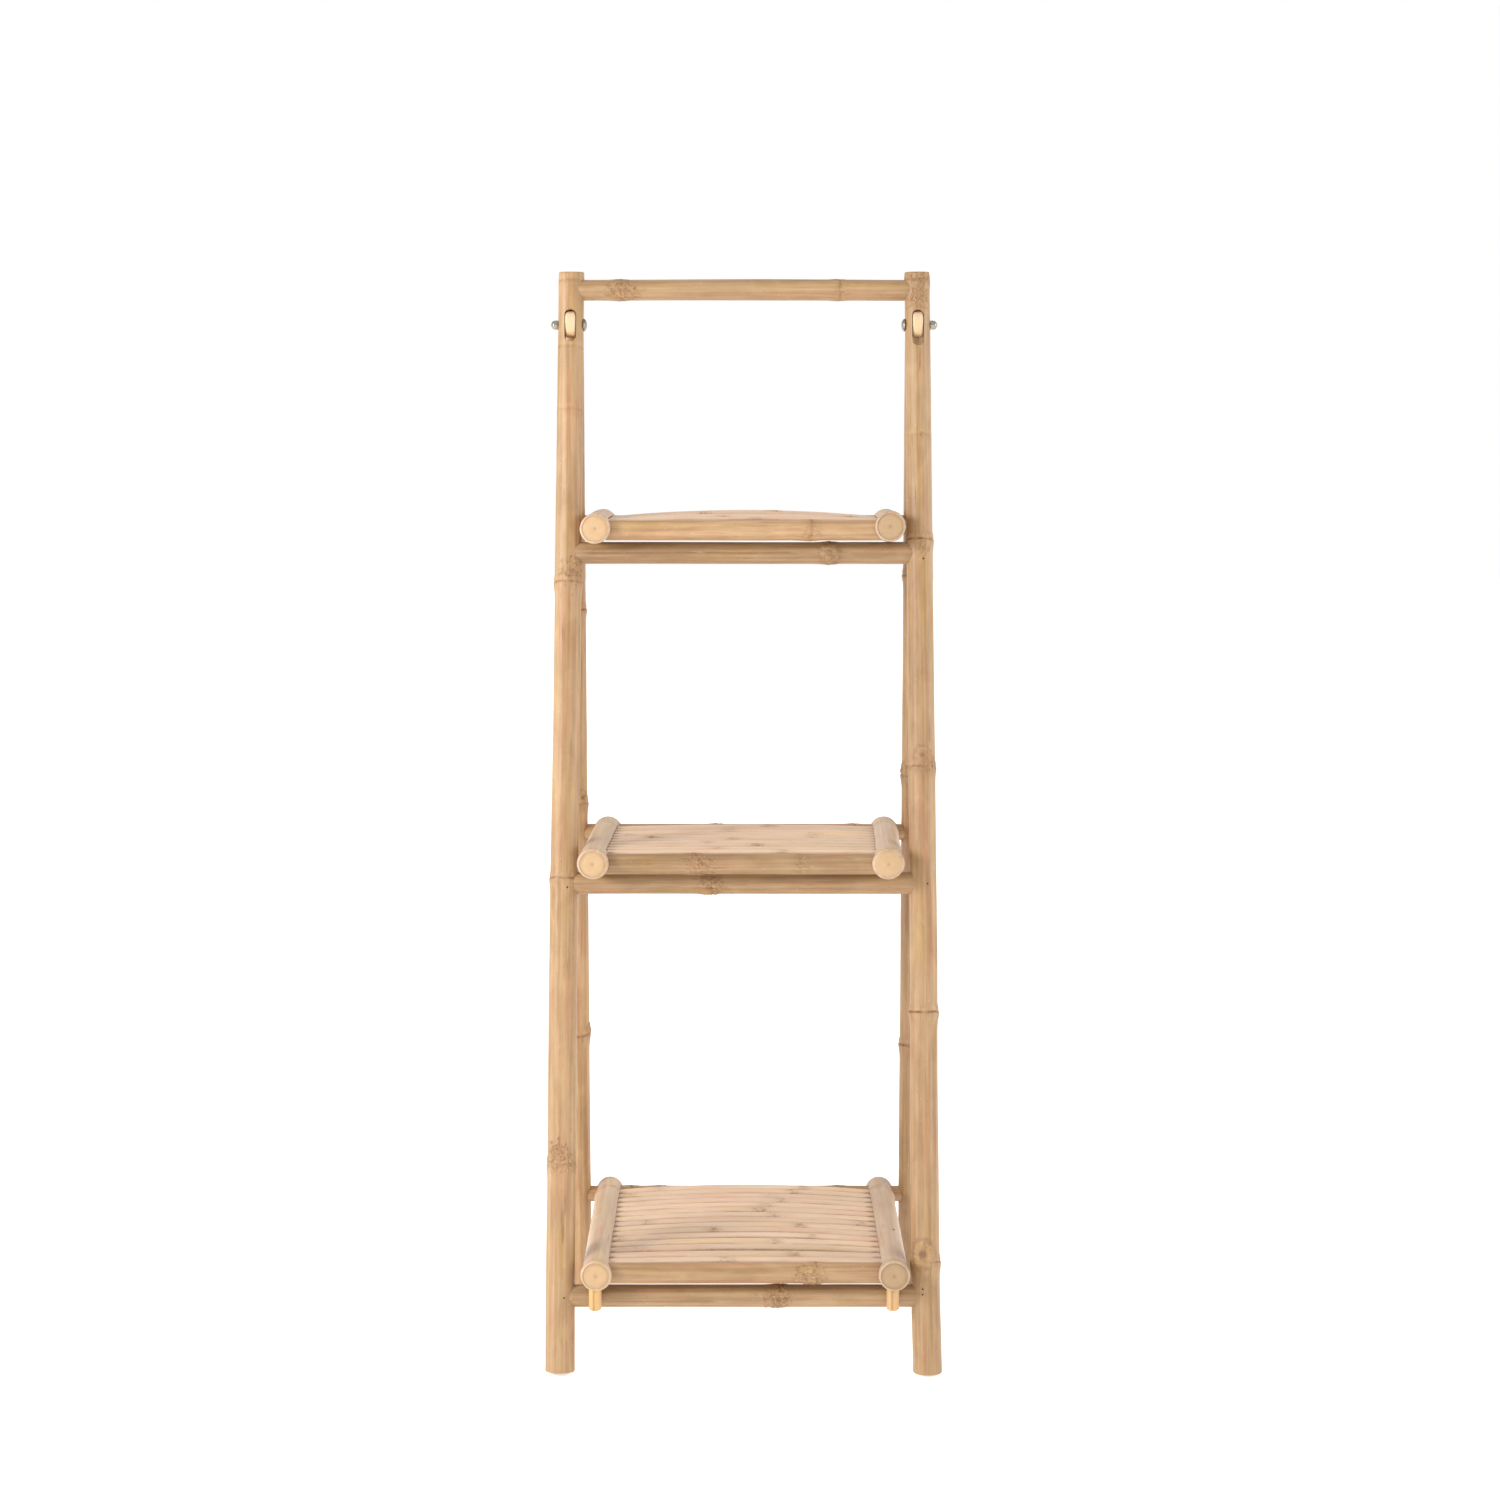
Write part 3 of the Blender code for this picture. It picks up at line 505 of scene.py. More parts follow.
def spin_profile(rows, sides):
    """A closed body turned from (radius, height) rows that start and end on the axis."""
    bm = bmesh.new()
    row = [bm.verts.new((radius, 0.0, height)) for radius, height in rows]
    edges = [bm.edges.new(pair) for pair in zip(row, row[1:])]
    bmesh.ops.spin(bm, geom=row + edges, cent=(0.0, 0.0, 0.0), axis=(0.0, 0.0, 1.0),
                   dvec=(0.0, 0.0, 0.0), angle=math.tau, steps=sides, use_merge=True,
                   use_duplicate=False)
    bmesh.ops.remove_doubles(bm, verts=bm.verts, dist=0.000001)
    bmesh.ops.recalc_face_normals(bm, faces=bm.faces)
    return bm


def culm_body(culm, length, radii, ends, sides):
    """A natural pole in its own frame, from 0 to length on Z."""
    special = [node.place * length for node in culm.nodes]
    special += [scar.place * length for scar in culm.scars]
    slope = (radii[1] - radii[0]) / length
    first, last = end_rows(ends[0], radii[0]), end_rows(ends[1], radii[1])
    start, stop = first[0][1], length - last[0][1]
    middle = [(radii[0] + slope * place, place) for place in ring_places(length, special)
              if start + FINE_STEP / 2 < place < stop - FINE_STEP / 2]
    rows = [(radius, depth) for radius, depth in reversed(first)]
    rows += middle + [(radius, length - depth) for radius, depth in last]
    bm = spin_profile(rows, sides)
    for vert in bm.verts:
        radius = math.hypot(vert.co.x, vert.co.y)
        skin = radii[0] + slope * vert.co.z
        weight = smooth((radius / skin - 0.60) / 0.35)
        if weight <= 0.0:
            continue
        turn = math.atan2(vert.co.x, -vert.co.y)
        rise = skin_rise(culm, length, vert.co.z, turn, skin) * weight
        vert.co.x *= (radius + rise) / radius
        vert.co.y *= (radius + rise) / radius
    for face in bm.faces:
        centre = face.calc_center_median()
        skin = radii[0] + slope * centre.z
        face.material_index = int(centre.xy.length < skin * PITH_SHARE * 0.995)
    return bm


def level_end(bm, matrix, length, radius, at_start, share):
    """Turns the end of a leaning culm towards level, and keeps it clear of the floor."""
    up = matrix.to_3x3().transposed() @ Vector((0.0, 0.0, 1.0))
    clear = (1.0 - share) * radius * up.xy.length / up.z
    for vert in bm.verts:
        distance = vert.co.z if at_start else length - vert.co.z
        weight = smooth(1.0 - distance / LEVEL_REACH)
        rise = clear if at_start else -clear
        vert.co.z += weight * (rise - share * vert.co.xy.dot(up.xy) / up.z)


def make_object(bm, name, materials):
    mesh = bpy.data.meshes.new(name)
    bm.to_mesh(mesh)
    bm.free()
    for material in materials:
        mesh.materials.append(material)
    obj = bpy.data.objects.new(name, mesh)
    bpy.context.scene.collection.objects.link(obj)
    return obj


def cut_away(obj, cutters):
    """Subtracts a bmesh of separate closed bodies from a piece."""
    for face in cutters.faces:
        face.material_index = 1
    tool = make_object(cutters, obj.name + "_cutter", [])
    boolean = obj.modifiers.new("cut", "BOOLEAN")
    boolean.operation = "DIFFERENCE"
    boolean.solver = "EXACT"
    boolean.object = tool
    shown = obj.evaluated_get(bpy.context.evaluated_depsgraph_get())
    mesh = bpy.data.meshes.new_from_object(shown)
    plain = obj.data
    obj.modifiers.clear()
    obj.data = mesh
    mesh.name = obj.name
    bpy.data.meshes.remove(plain)
    bpy.data.objects.remove(tool)


def add_rod(bm, start, end, radius, sides=40):
    """Adds a closed cylinder between two points."""
    turn = (end - start).to_track_quat("Z", "Y").to_matrix().to_4x4()
    place = Matrix.Translation((start + end) / 2) @ turn
    bmesh.ops.create_cone(bm, cap_ends=True, segments=sides, radius1=radius,
                          radius2=radius, depth=(end - start).length, matrix=place)


def add_block(bm, centre, size, turn=None, corner=0.0):
    """Adds a box, with its long edges on Y rounded if it has a corner."""
    place = Matrix.Translation(centre) @ (turn or Matrix.Identity(4))
    made = bmesh.ops.create_cube(bm, size=1.0, matrix=Matrix.Diagonal((*size, 1.0)))
    if corner:
        edges = {edge for vert in made["verts"] for edge in vert.link_edges
                 if abs((edge.verts[0].co - edge.verts[1].co).normalized().y) > 0.9}
        made = bmesh.ops.bevel(bm, geom=list(edges), offset=corner, segments=6,
                               profile=0.5, affect="EDGES", material=-1)
        verts = {vert for face in made["faces"] for vert in face.verts}
        verts |= {other.verts[0] for vert in verts for other in vert.link_edges}
        verts |= {other.verts[1] for vert in verts for other in vert.link_edges}
        made = {"verts": list(verts)}
    bmesh.ops.transform(bm, matrix=place, verts=made["verts"])


def new_attributes(mesh):
    """Adds the attributes that the bamboo materials read."""
    kinds = {"culm": "FLOAT_VECTOR", "marks": "FLOAT_VECTOR", "tone": "FLOAT"}
    for name, kind in kinds.items():
        mesh.attributes.new(name, kind, "POINT")
    return [mesh.attributes[name] for name in kinds]


def paint_culm(obj, culm, matrix, length, radii, tones):
    """Writes where each point lies on the grown culm, the masks of its marks and its tone.

    tones are the shades of the skin, of the start's sawn face and of the end's.
    """
    mesh = obj.data
    where, marks, shade = new_attributes(mesh)
    inverse = matrix.inverted()
    slope = (radii[1] - radii[0]) / length
    for index, vert in enumerate(mesh.vertices):
        share = (inverse @ vert.co).z / length
        local = inverse @ (vert.co - sway_at(culm.sway, share))
        turn = math.atan2(local.x, -local.y)
        skin = radii[0] + slope * local.z
        inside = local.xy.length / skin
        dark, patch, pale = marks_at(culm, length, local.z, turn, skin)
        if inside < RIM_SHARE:
            uneven = 0.8 + 0.8 * wobble(turn, culm.seed * 1.3 + share)
            dark = 0.6 * uneven * math.exp(-((inside - PITH_SHARE + 0.03) / 0.030) ** 2)
            patch = pale = 0.0
        where.data[index].vector = (local.x, local.y, local.z + culm.seed)
        marks.data[index].vector = (dark, patch, pale)
        at_end = 1 if share < 0.5 else 2
        shade.data[index].value = tones[at_end] if inside < RIM_SHARE else tones[0]


def finish_piece(obj, body, nodes):
    obj.data.shade_smooth()
    obj.data.set_sharp_from_angle(angle=SMOOTH_ANGLE)
    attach(obj, body)
    if nodes:
        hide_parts(*nodes)


def build_culm(node, line, away, ends, body, materials, level=(0.0, 0.0),
               culm=None, cutters=None):
    """Builds the natural pole that stands for one CAD pole."""
    start, end, radii = line
    culm = culm or CULMS[node]
    length = (end - start).length
    matrix = placement(start, end, away)
    bm = culm_body(culm, length, radii, ends, bpy.context.scene.shelf.sides)
    for at_start, radius, share in zip((True, False), radii, level):
        if share:
            level_end(bm, matrix, length, radius, at_start, share)
    for vert in bm.verts:
        vert.co = matrix @ vert.co + sway_at(culm.sway, vert.co.z / length)
    obj = make_object(bm, "bamboo_" + node, materials)
    if cutters:
        cut_away(obj, cutters)
    paint_culm(obj, culm, matrix, length, radii, TONES.get(node, (1.0, 1.0, 1.0)))
    finish_piece(obj, body, [node])
    return obj


# ---------------------------------------------------------------- materials

def group_socket(group, name, kind, direction="INPUT"):
    return group.interface.new_socket(name=name, in_out=direction, socket_type=kind)


def add_node(tree, kind, values=None, **settings):
    """Adds a shader node, with settings and with values or links for its inputs."""
    node = tree.nodes.new(kind)
    for key, value in settings.items():
        setattr(node, key, value)
    for key, value in (values or {}).items():
        if isinstance(value, bpy.types.NodeSocket):
            tree.links.new(value, node.inputs[key])
        else:
            node.inputs[key].default_value = value
    return node


def mix_colour(tree, factor, first, second, blend="MIX"):
    return add_node(tree, "ShaderNodeMix", {0: factor, 6: first, 7: second},
                    data_type="RGBA", blend_type=blend).outputs[2]


def scaled(tree, vector, scale):
    return add_node(tree, "ShaderNodeVectorMath", {0: vector, 1: scale},
                    operation="MULTIPLY").outputs[0]


def grain(tree, vector, scale, detail=3.0, roughness=0.55, distortion=0.0):
    """Noise stretched by a scale for each axis, in features to the metre."""
    return add_node(tree, "ShaderNodeTexNoise",
                    {"Vector": scaled(tree, vector, scale), "Scale": 1.0, "Detail": detail,
                     "Roughness": roughness, "Distortion": distortion}).outputs["Fac"]


def ranged(tree, value, low, high, to_low=0.0, to_high=1.0):
    return add_node(tree, "ShaderNodeMapRange",
                    {"Value": value, "From Min": low, "From Max": high,
                     "To Min": to_low, "To Max": to_high}).outputs["Result"]


def maths(tree, operation, first, second):
    return add_node(tree, "ShaderNodeMath", {0: first, 1: second}, operation=operation,
                    use_clamp=False).outputs[0]


def skin_group():
    """Fibres, streaks, blotches, node stains and specks of bamboo skin."""
    group = bpy.data.node_groups.new("bamboo_skin", "ShaderNodeTree")
    for name, kind in (("Place", "NodeSocketVector"), ("Marks", "NodeSocketVector"),
                       ("Light", "NodeSocketColor"), ("Deep", "NodeSocketColor"),
                       ("Stain", "NodeSocketColor"), ("Contrast", "NodeSocketFloat"),
                       ("Gloss", "NodeSocketFloat"), ("Tone", "NodeSocketFloat")):
        group_socket(group, name, kind)
    group_socket(group, "Colour", "NodeSocketColor", "OUTPUT")
    group_socket(group, "Roughness", "NodeSocketFloat", "OUTPUT")
    group_socket(group, "Height", "NodeSocketFloat", "OUTPUT")
    source = group.nodes.new("NodeGroupInput").outputs
    place = source["Place"]
    split = add_node(group, "ShaderNodeSeparateXYZ", {0: source["Marks"]}).outputs
    fibre = grain(group, place, (900.0, 900.0, 14.0), 3.0, 0.6)
    streak = grain(group, place, (230.0, 230.0, 5.0), 3.0, 0.55)
    blotch = grain(group, place, (55.0, 55.0, 22.0), 3.0, 0.6, 0.6)
    tone = maths(group, "ADD", maths(group, "MULTIPLY", streak, 0.6),
                 maths(group, "MULTIPLY", blotch, 0.4))
    low = maths(group, "SUBTRACT", 0.5, source["Contrast"])
    high = maths(group, "ADD", 0.5, source["Contrast"])
    colour = mix_colour(group, ranged(group, tone, low, high), source["Deep"],
                        source["Light"])
    # Rosy and yellow casts drift along the skin.
    cast = grain(group, place, (90.0, 90.0, 9.0), 2.0, 0.5)
    colour = mix_colour(group, ranged(group, cast, 0.52, 0.68, 0.0, 0.75), colour,
                        ROSY, "MULTIPLY")
    colour = mix_colour(group, ranged(group, cast, 0.46, 0.32, 0.0, 0.75), colour,
                        YELLOW, "MULTIPLY")
    fine = maths(group, "MULTIPLY", ranged(group, fibre, 0.35, 0.65, 0.91, 1.06),
                 source["Tone"])
    colour = mix_colour(group, 1.0, colour, fine, "MULTIPLY")
    line = grain(group, place, (620.0, 620.0, 26.0), 2.0, 0.5)
    broken = grain(group, place, (40.0, 40.0, 16.0), 2.0, 0.5)
    scratch = maths(group, "MULTIPLY", ranged(group, line, 0.64, 0.72),
                    ranged(group, broken, 0.50, 0.62))
    colour = mix_colour(group, maths(group, "MULTIPLY", scratch, 0.40), colour,
                        source["Stain"])
    # Pale band above a ring, brown patches and the dark ring itself. On the slats the dark mask
    # also holds painted shade along the seams and at the ends.
    pale = mix_colour(group, 1.0, colour, PALE, "MULTIPLY")
    colour = mix_colour(group, maths(group, "MULTIPLY", split[2], 0.7), colour, pale)
    speckle = grain(group, place, (420.0, 420.0, 300.0), 3.0, 0.7, 0.8)
    mottle = grain(group, place, (170.0, 170.0, 110.0), 2.0, 0.6, 1.0)
    patch = maths(group, "MULTIPLY", split[1],
                  ranged(group, mottle, 0.35, 0.65, 0.15, 1.0))
    rust = mix_colour(group, 0.5, source["Stain"], source["Deep"])
    colour = mix_colour(group, maths(group, "MULTIPLY", patch, 0.62), colour, rust)
    spots = maths(group, "MULTIPLY", split[1], ranged(group, speckle, 0.53, 0.62))
    colour = mix_colour(group, maths(group, "MULTIPLY", spots, 0.85), colour,
                        source["Stain"])
    crumbs = maths(group, "MULTIPLY", split[1], ranged(group, speckle, 0.40, 0.32))
    colour = mix_colour(group, maths(group, "MULTIPLY", crumbs, 0.45), colour,
                        CRUMB)
    # On the slats this mix paints shade along their seams and ends, besides their node marks.
    ring = maths(group, "MULTIPLY", split[0], ranged(group, mottle, 0.25, 0.6, 0.6, 1.0))
    colour = mix_colour(group, maths(group, "MINIMUM", ring, 0.85), colour,
                        source["Stain"])
    specks = grain(group, place, (700.0, 700.0, 420.0), 1.0, 0.5)
    colour = mix_colour(group, ranged(group, specks, 0.24, 0.19, 0.0, 0.6), colour,
                        SPECK)
    colour = mix_colour(group, ranged(group, specks, 0.74, 0.80, 0.0, 0.5), colour,
                        source["Stain"])
    rough = maths(group, "ADD", source["Gloss"],
                  maths(group, "MULTIPLY", maths(group, "ADD", split[1], scratch), 0.22))
    rough = maths(group, "ADD", rough, ranged(group, fibre, 0.3, 0.7, -0.05, 0.07))
    height = maths(group, "ADD", maths(group, "MULTIPLY", fibre, 0.6),
                   maths(group, "MULTIPLY", spots, -0.8))
    height = maths(group, "SUBTRACT", height, maths(group, "MULTIPLY", scratch, 0.5))
    out = group.nodes.new("NodeGroupOutput")
    group.links.new(colour, out.inputs["Colour"])
    group.links.new(rough, out.inputs["Roughness"])
    group.links.new(height, out.inputs["Height"])
    return group


def pith_group():
    """Sawn bamboo: dots of the vessels, faint rings, a darker centre and a darker ring just
    inside the skin.
    """
    group = bpy.data.node_groups.new("sawn_bamboo", "ShaderNodeTree")
    for name, kind in (("Place", "NodeSocketVector"), ("Marks", "NodeSocketVector"),
                       ("Pith", "NodeSocketColor"), ("Stain", "NodeSocketColor"),
                       ("Tone", "NodeSocketFloat")):
        group_socket(group, name, kind)
    group_socket(group, "Colour", "NodeSocketColor", "OUTPUT")
    group_socket(group, "Height", "NodeSocketFloat", "OUTPUT")
    source = group.nodes.new("NodeGroupInput").outputs
    place = source["Place"]
    flat = scaled(group, place, (1.0, 1.0, 0.0))
    radius = add_node(group, "ShaderNodeVectorMath", {0: flat},
                      operation="LENGTH").outputs["Value"]
    drift = grain(group, place, (110.0, 110.0, 40.0), 2.0, 0.5)
    waves = maths(group, "ADD", maths(group, "MULTIPLY", radius, 2600.0),
                  maths(group, "MULTIPLY", drift, 7.0))
    rings = ranged(group, maths(group, "SINE", waves, 0.0), -1.0, 1.0)
    dots = grain(group, place, (1500.0, 1500.0, 60.0), 1.0, 0.5)
    soft = grain(group, place, (160.0, 160.0, 25.0), 3.0, 0.6)
    colour = mix_colour(group, ranged(group, soft, 0.35, 0.65, 0.0, 0.35),
                        source["Pith"], DRY_PITH)
    colour = mix_colour(group, maths(group, "MULTIPLY", rings, 0.04), colour,
                        source["Stain"])
    colour = mix_colour(group, ranged(group, dots, 0.60, 0.70, 0.0, 0.25), colour,
                        source["Stain"])
    core = ranged(group, radius, 0.0030, 0.0004, 0.0, 0.30)
    colour = mix_colour(group, core, colour, source["Stain"])
    colour = mix_colour(group, 1.0, colour, source["Tone"], "MULTIPLY")
    rim = add_node(group, "ShaderNodeSeparateXYZ", {0: source["Marks"]}).outputs[0]
    colour = mix_colour(group, maths(group, "MULTIPLY", rim, 0.8), colour,
                        source["Stain"])
    height = maths(group, "ADD", maths(group, "MULTIPLY", rings, 0.5),
                   maths(group, "MULTIPLY", dots, 0.6))
    out = group.nodes.new("NodeGroupOutput")
    group.links.new(colour, out.inputs["Colour"])
    group.links.new(height, out.inputs["Height"])
    return group


def new_material(name):
    material = bpy.data.materials.new(name)
    material.use_nodes = True
    tree = material.node_tree
    return material, tree, tree.nodes["Principled BSDF"]


def add_bump(tree, shader, height, distance, strength):
    bump = add_node(tree, "ShaderNodeBump", {"Height": height, "Distance": distance,
                                             "Strength": strength})
    tree.links.new(bump.outputs[0], shader.inputs["Normal"])


def attribute(tree, name, output="Vector"):
    return add_node(tree, "ShaderNodeAttribute", attribute_name=name).outputs[output]


def skin_material(name, light, deep, gloss, contrast, shine):
    """Bamboo skin with its own colours and gloss."""
    settings = bpy.context.scene.shelf
    material, tree, shader = new_material(name)
    skin = tree.nodes.new("ShaderNodeGroup")
    skin.node_tree = bpy.data.node_groups["bamboo_skin"]
    tree.links.new(attribute(tree, "culm"), skin.inputs["Place"])
    tree.links.new(attribute(tree, "marks"), skin.inputs["Marks"])
    tree.links.new(attribute(tree, "tone", "Fac"), skin.inputs["Tone"])
    skin.inputs["Light"].default_value = (*light, 1.0)
    skin.inputs["Deep"].default_value = (*deep, 1.0)
    skin.inputs["Stain"].default_value = (*settings.stain, 1.0)
    skin.inputs["Contrast"].default_value = contrast
    skin.inputs["Gloss"].default_value = gloss
    tree.links.new(skin.outputs["Colour"], shader.inputs["Base Color"])
    tree.links.new(skin.outputs["Roughness"], shader.inputs["Roughness"])
    shader.inputs["Specular IOR Level"].default_value = shine
    add_bump(tree, shader, skin.outputs["Height"], 0.0004, 0.55)
    return material


def pith_material(name, colour, rough):
    settings = bpy.context.scene.shelf
    material, tree, shader = new_material(name)
    sawn = tree.nodes.new("ShaderNodeGroup")
    sawn.node_tree = bpy.data.node_groups["sawn_bamboo"]
    tree.links.new(attribute(tree, "culm"), sawn.inputs["Place"])
    tree.links.new(attribute(tree, "marks"), sawn.inputs["Marks"])
    tree.links.new(attribute(tree, "tone", "Fac"), sawn.inputs["Tone"])
    sawn.inputs["Pith"].default_value = (*colour, 1.0)
    sawn.inputs["Stain"].default_value = (*settings.stain, 1.0)
    tree.links.new(sawn.outputs["Colour"], shader.inputs["Base Color"])
    shader.inputs["Roughness"].default_value = rough
    add_bump(tree, shader, sawn.outputs["Height"], 0.0003, 0.4)
    return material


def metal_material(name, colour):
    """Plated steel with turning marks and a few dull spots."""
    material, tree, shader = new_material(name)
    place = add_node(tree, "ShaderNodeTexCoord").outputs["Object"]
    marks = grain(tree, place, (3000.0, 160.0, 160.0), 2.0, 0.5)
    dull = grain(tree, place, (260.0, 260.0, 260.0), 3.0, 0.6)
    dark = tuple(value * 0.62 for value in colour)
    tint = mix_colour(tree, ranged(tree, dull, 0.42, 0.68), (*colour, 1.0), (*dark, 1.0))
    tree.links.new(tint, shader.inputs["Base Color"])
    shader.inputs["Metallic"].default_value = 1.0
    tree.links.new(ranged(tree, dull, 0.3, 0.7, 0.22, 0.42), shader.inputs["Roughness"])
    add_bump(tree, shader, marks, 0.0001, 0.25)
    return material


def build_materials():
    settings = bpy.context.scene.shelf
    skin_group()
    pith_group()
    skin_material("pole_skin", settings.pole_light, settings.pole_deep,
                  settings.pole_roughness, 0.15, 0.45)
    skin_material("rail_skin", settings.rail_light, settings.rail_deep,
                  settings.pole_roughness + 0.02, 0.20, 0.50)
    skin_material("slat_skin", settings.slat_light, settings.slat_deep,
                  settings.pole_roughness + 0.02, 0.28, 0.50)
    skin_material("split_peg", settings.peg,
                  tuple(value * 0.86 for value in settings.peg), 0.5, 0.12, 0.4)
    skin_material("tongue_wood", TONGUE_LIGHT, TONGUE_DEEP, 0.5, 0.2, 0.4)
    pith_material("sawn_end", settings.pith, 0.62)
    metal_material("plated_steel", settings.metal)
    metal_material("nail_steel", tuple(value * 0.12 for value in settings.metal))


def material(name):
    return bpy.data.materials[name]


# ---------------------------------------------------------------- the frames

def pole_materials():
    return [material("pole_skin"), material("sawn_end")]


def build_cross_poles(names, body):
    for name in names:
        build_culm(name, across_line(name), BACK, ("cut", "cut"), body, pole_materials())


def slot_cutter(side, line):
    """Mortise for the tongue, round at its ends."""
    start, end, _ = line
    low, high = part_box("hinge_tongue_" + side)
    pivot = joint_pivot("frame_fold")
    pivot.x = (low.x + high.x) / 2
    lean = math.atan2(end.y - start.y, end.z - start.z)
    above = high.z - pivot.z + SLOT_REACH[side][0]
    below = above + SLOT_REACH[side][1]
    width = high.x - low.x + 2 * SLOT_GAP
    turn = Matrix.Rotation(-lean, 4, "X")
    bm = bmesh.new()
    centre = pivot + turn.to_3x3() @ Vector((0.0, 0.0, (above - below) / 2))
    add_block(bm, centre, (width, SLOT_DEPTH, above + below), turn, SLOT_CORNER)
    return bm


class ShelfFrontFrame(bpy.types.Operator):
    """Builds the posts with their hinge slots, the top rail and the three front rungs"""

    bl_idname = "shelf.front_frame"
    bl_label = "Front frame"

    def execute(self, context):
        for side in SIDES:
            name = "front_post_" + side
            line = pole_line(name, DOWN, UP, (0, 0))
            build_culm(name, line, BACK, ("bored", "cut"), "front_frame",
                       pole_materials(), (FOOT_LEVEL[side], 1.0),
                       cutters=slot_cutter(side, line))
        build_cross_poles(["top_rail"] + ["front_rung_" + tray for tray in TRAYS],
                          "front_frame")
        return {"FINISHED"}


def full_round(turn, radius):
    """A point of a head that is rounder than a square and fuller than a circle."""
    cosine, sine = math.cos(turn), math.sin(turn)
    size = (abs(cosine) ** HEAD_POWER + abs(sine) ** HEAD_POWER) ** (-1.0 / HEAD_POWER)
    return radius * size * cosine, radius * size * sine


def build_tongue(side):
    """Flat tongue with a round head, let into the top of a leg."""
    low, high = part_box("hinge_tongue_" + side)
    foot, top, radii = leg_line("rear_leg_" + side)
    pivot = joint_pivot("frame_fold")
    pivot.x = (low.x + high.x) / 2
    along = (top - foot).normalized()
    lean = math.atan2(-along.y, along.z)
    head = high.z - pivot.z
    offset = (top - pivot).dot(Vector((0.0, math.cos(lean), math.sin(lean))))
    stem = radii[1] - 0.0018
    outline = [full_round(math.radians(270.0 - 6.0 * step), head) for step in range(31)]
    outline = [(y, z * HEAD_RISE if z > 0.0 else z) for y, z in outline]
    outline += [(offset + stem - 0.004, -0.0015), (offset + stem, -0.0060),
                (offset + stem, -TONGUE_ROOT), (offset - stem, -TONGUE_ROOT),
                (offset - stem, -head - 0.001)]
    bm = bmesh.new()
    corners = [bm.verts.new((0.0, y, z)) for y, z in outline]
    for pair in zip(corners, corners[1:] + corners[:1]):
        bm.edges.new(pair)
    face = bmesh.ops.contextual_create(bm, geom=bm.edges[:])["faces"]
    moved = bmesh.ops.extrude_face_region(bm, geom=face)["geom"]
    thickness = high.x - low.x
    bmesh.ops.translate(bm, vec=(thickness, 0.0, 0.0),
                        verts=[item for item in moved if isinstance(item, bmesh.types.BMVert)])
    bmesh.ops.recalc_face_normals(bm, faces=bm.faces)
    rims = [edge for edge in bm.edges if edge.is_manifold
            and abs(edge.link_faces[0].normal.x - edge.link_faces[1].normal.x) > 0.5]
    bmesh.ops.bevel(bm, geom=rims, offset=TONGUE_EDGE, segments=4, profile=0.5,
                    affect="EDGES", material=-1)
    place = (Matrix.Translation(pivot) @ Matrix.Rotation(lean, 4, "X")
             @ Matrix.Translation((-thickness / 2, 0.0, 0.0)))
    bmesh.ops.transform(bm, matrix=place, verts=bm.verts)
    bmesh.ops.triangulate(bm, faces=[face for face in bm.faces if len(face.verts) > 4])
    obj = make_object(bm, "tongue_" + side, [material("tongue_wood"), material("sawn_end")])
    hole = bmesh.new()
    reach = Vector((0.02, 0.0, 0.0))
    add_rod(hole, pivot - reach, pivot + reach, TONGUE_BORE, 24)
    cut_away(obj, hole)
    grown = Culm((), (), (), STRAIGHT, 5.0 + SIDE_SIGN[side])
    paint_culm(obj, grown, placement(foot, top, BACK), (top - foot).length, radii,
               (1.0, 1.0, 1.0))
    finish_piece(obj, "rear_frame", ["hinge_tongue_" + side])


class ShelfRearFrame(bpy.types.Operator):
    """Builds the legs with their hinge tongues and the three rear rungs"""

    bl_idname = "shelf.rear_frame"
    bl_label = "Rear frame"

    def execute(self, context):
        for side in SIDES:
            name = "rear_leg_" + side
            build_culm(name, leg_line(name), BACK, ("bored", "cut"), "rear_frame",
                       pole_materials(), (1.0, 0.0))
            build_tongue(side)
        build_cross_poles(["rear_rung_" + tray for tray in TRAYS], "rear_frame")
        return {"FINISHED"}


class ShelfHinges(bpy.types.Operator):
    """Builds the two bolts, their cap nuts, and the nails in the posts"""

    bl_idname = "shelf.hinges"
    bl_label = "Hinge metal and nails"

    def execute(self, context):
        for side in SIDES:
            build_bolt(side)
            build_cap_nut(side)
        build_nails()
        return {"FINISHED"}


def metal_piece(bm, name, node, seat, sign, groove=None):
    """Lays a turned body along X with its base at the seat, and cuts its groove."""
    turn = Vector((sign, 0.0, 0.0)).to_track_quat("Z", "Y").to_matrix().to_4x4()
    bmesh.ops.transform(bm, matrix=Matrix.Translation(seat) @ turn, verts=bm.verts)
    obj = make_object(bm, name, [material("plated_steel")])
    if groove:
        cut_away(obj, groove)
    finish_piece(obj, "front_frame", [node])


def build_bolt(side):
    """Dome-headed bolt through post and tongue, with a screwdriver's slot."""
    low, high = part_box("hinge_bolt_" + side)
    sign = SIDE_SIGN[side]
    middle = (low + high) / 2
    head = (high.y - low.y) / 2
    inner = low.x if sign > 0 else high.x
    length = high.x - low.x
    rows = [(0.0, 0.0)]
    rows += [(head * math.sin(turn), HEAD_DOME * (1.0 - math.cos(turn)))
             for turn in quarter_turn(8)[1:]]
    rows += [(head * 0.97, HEAD_DOME + 0.0004), (SHANK, HEAD_DOME + 0.0005),
             (SHANK, length - SHANK_CHAMFER), (SHANK - SHANK_CHAMFER, length),
             (0.0, length)]
    seat = Vector((inner, middle.y, middle.z))
    groove = bmesh.new()
    add_block(groove, seat, (*DRIVE_SLOT, 2.6 * head),
              Matrix.Rotation(DRIVE_TURN, 4, "X"))
    metal_piece(spin_profile(rows, 40), "bolt_" + side, "hinge_bolt_" + side, seat, sign,
                groove)


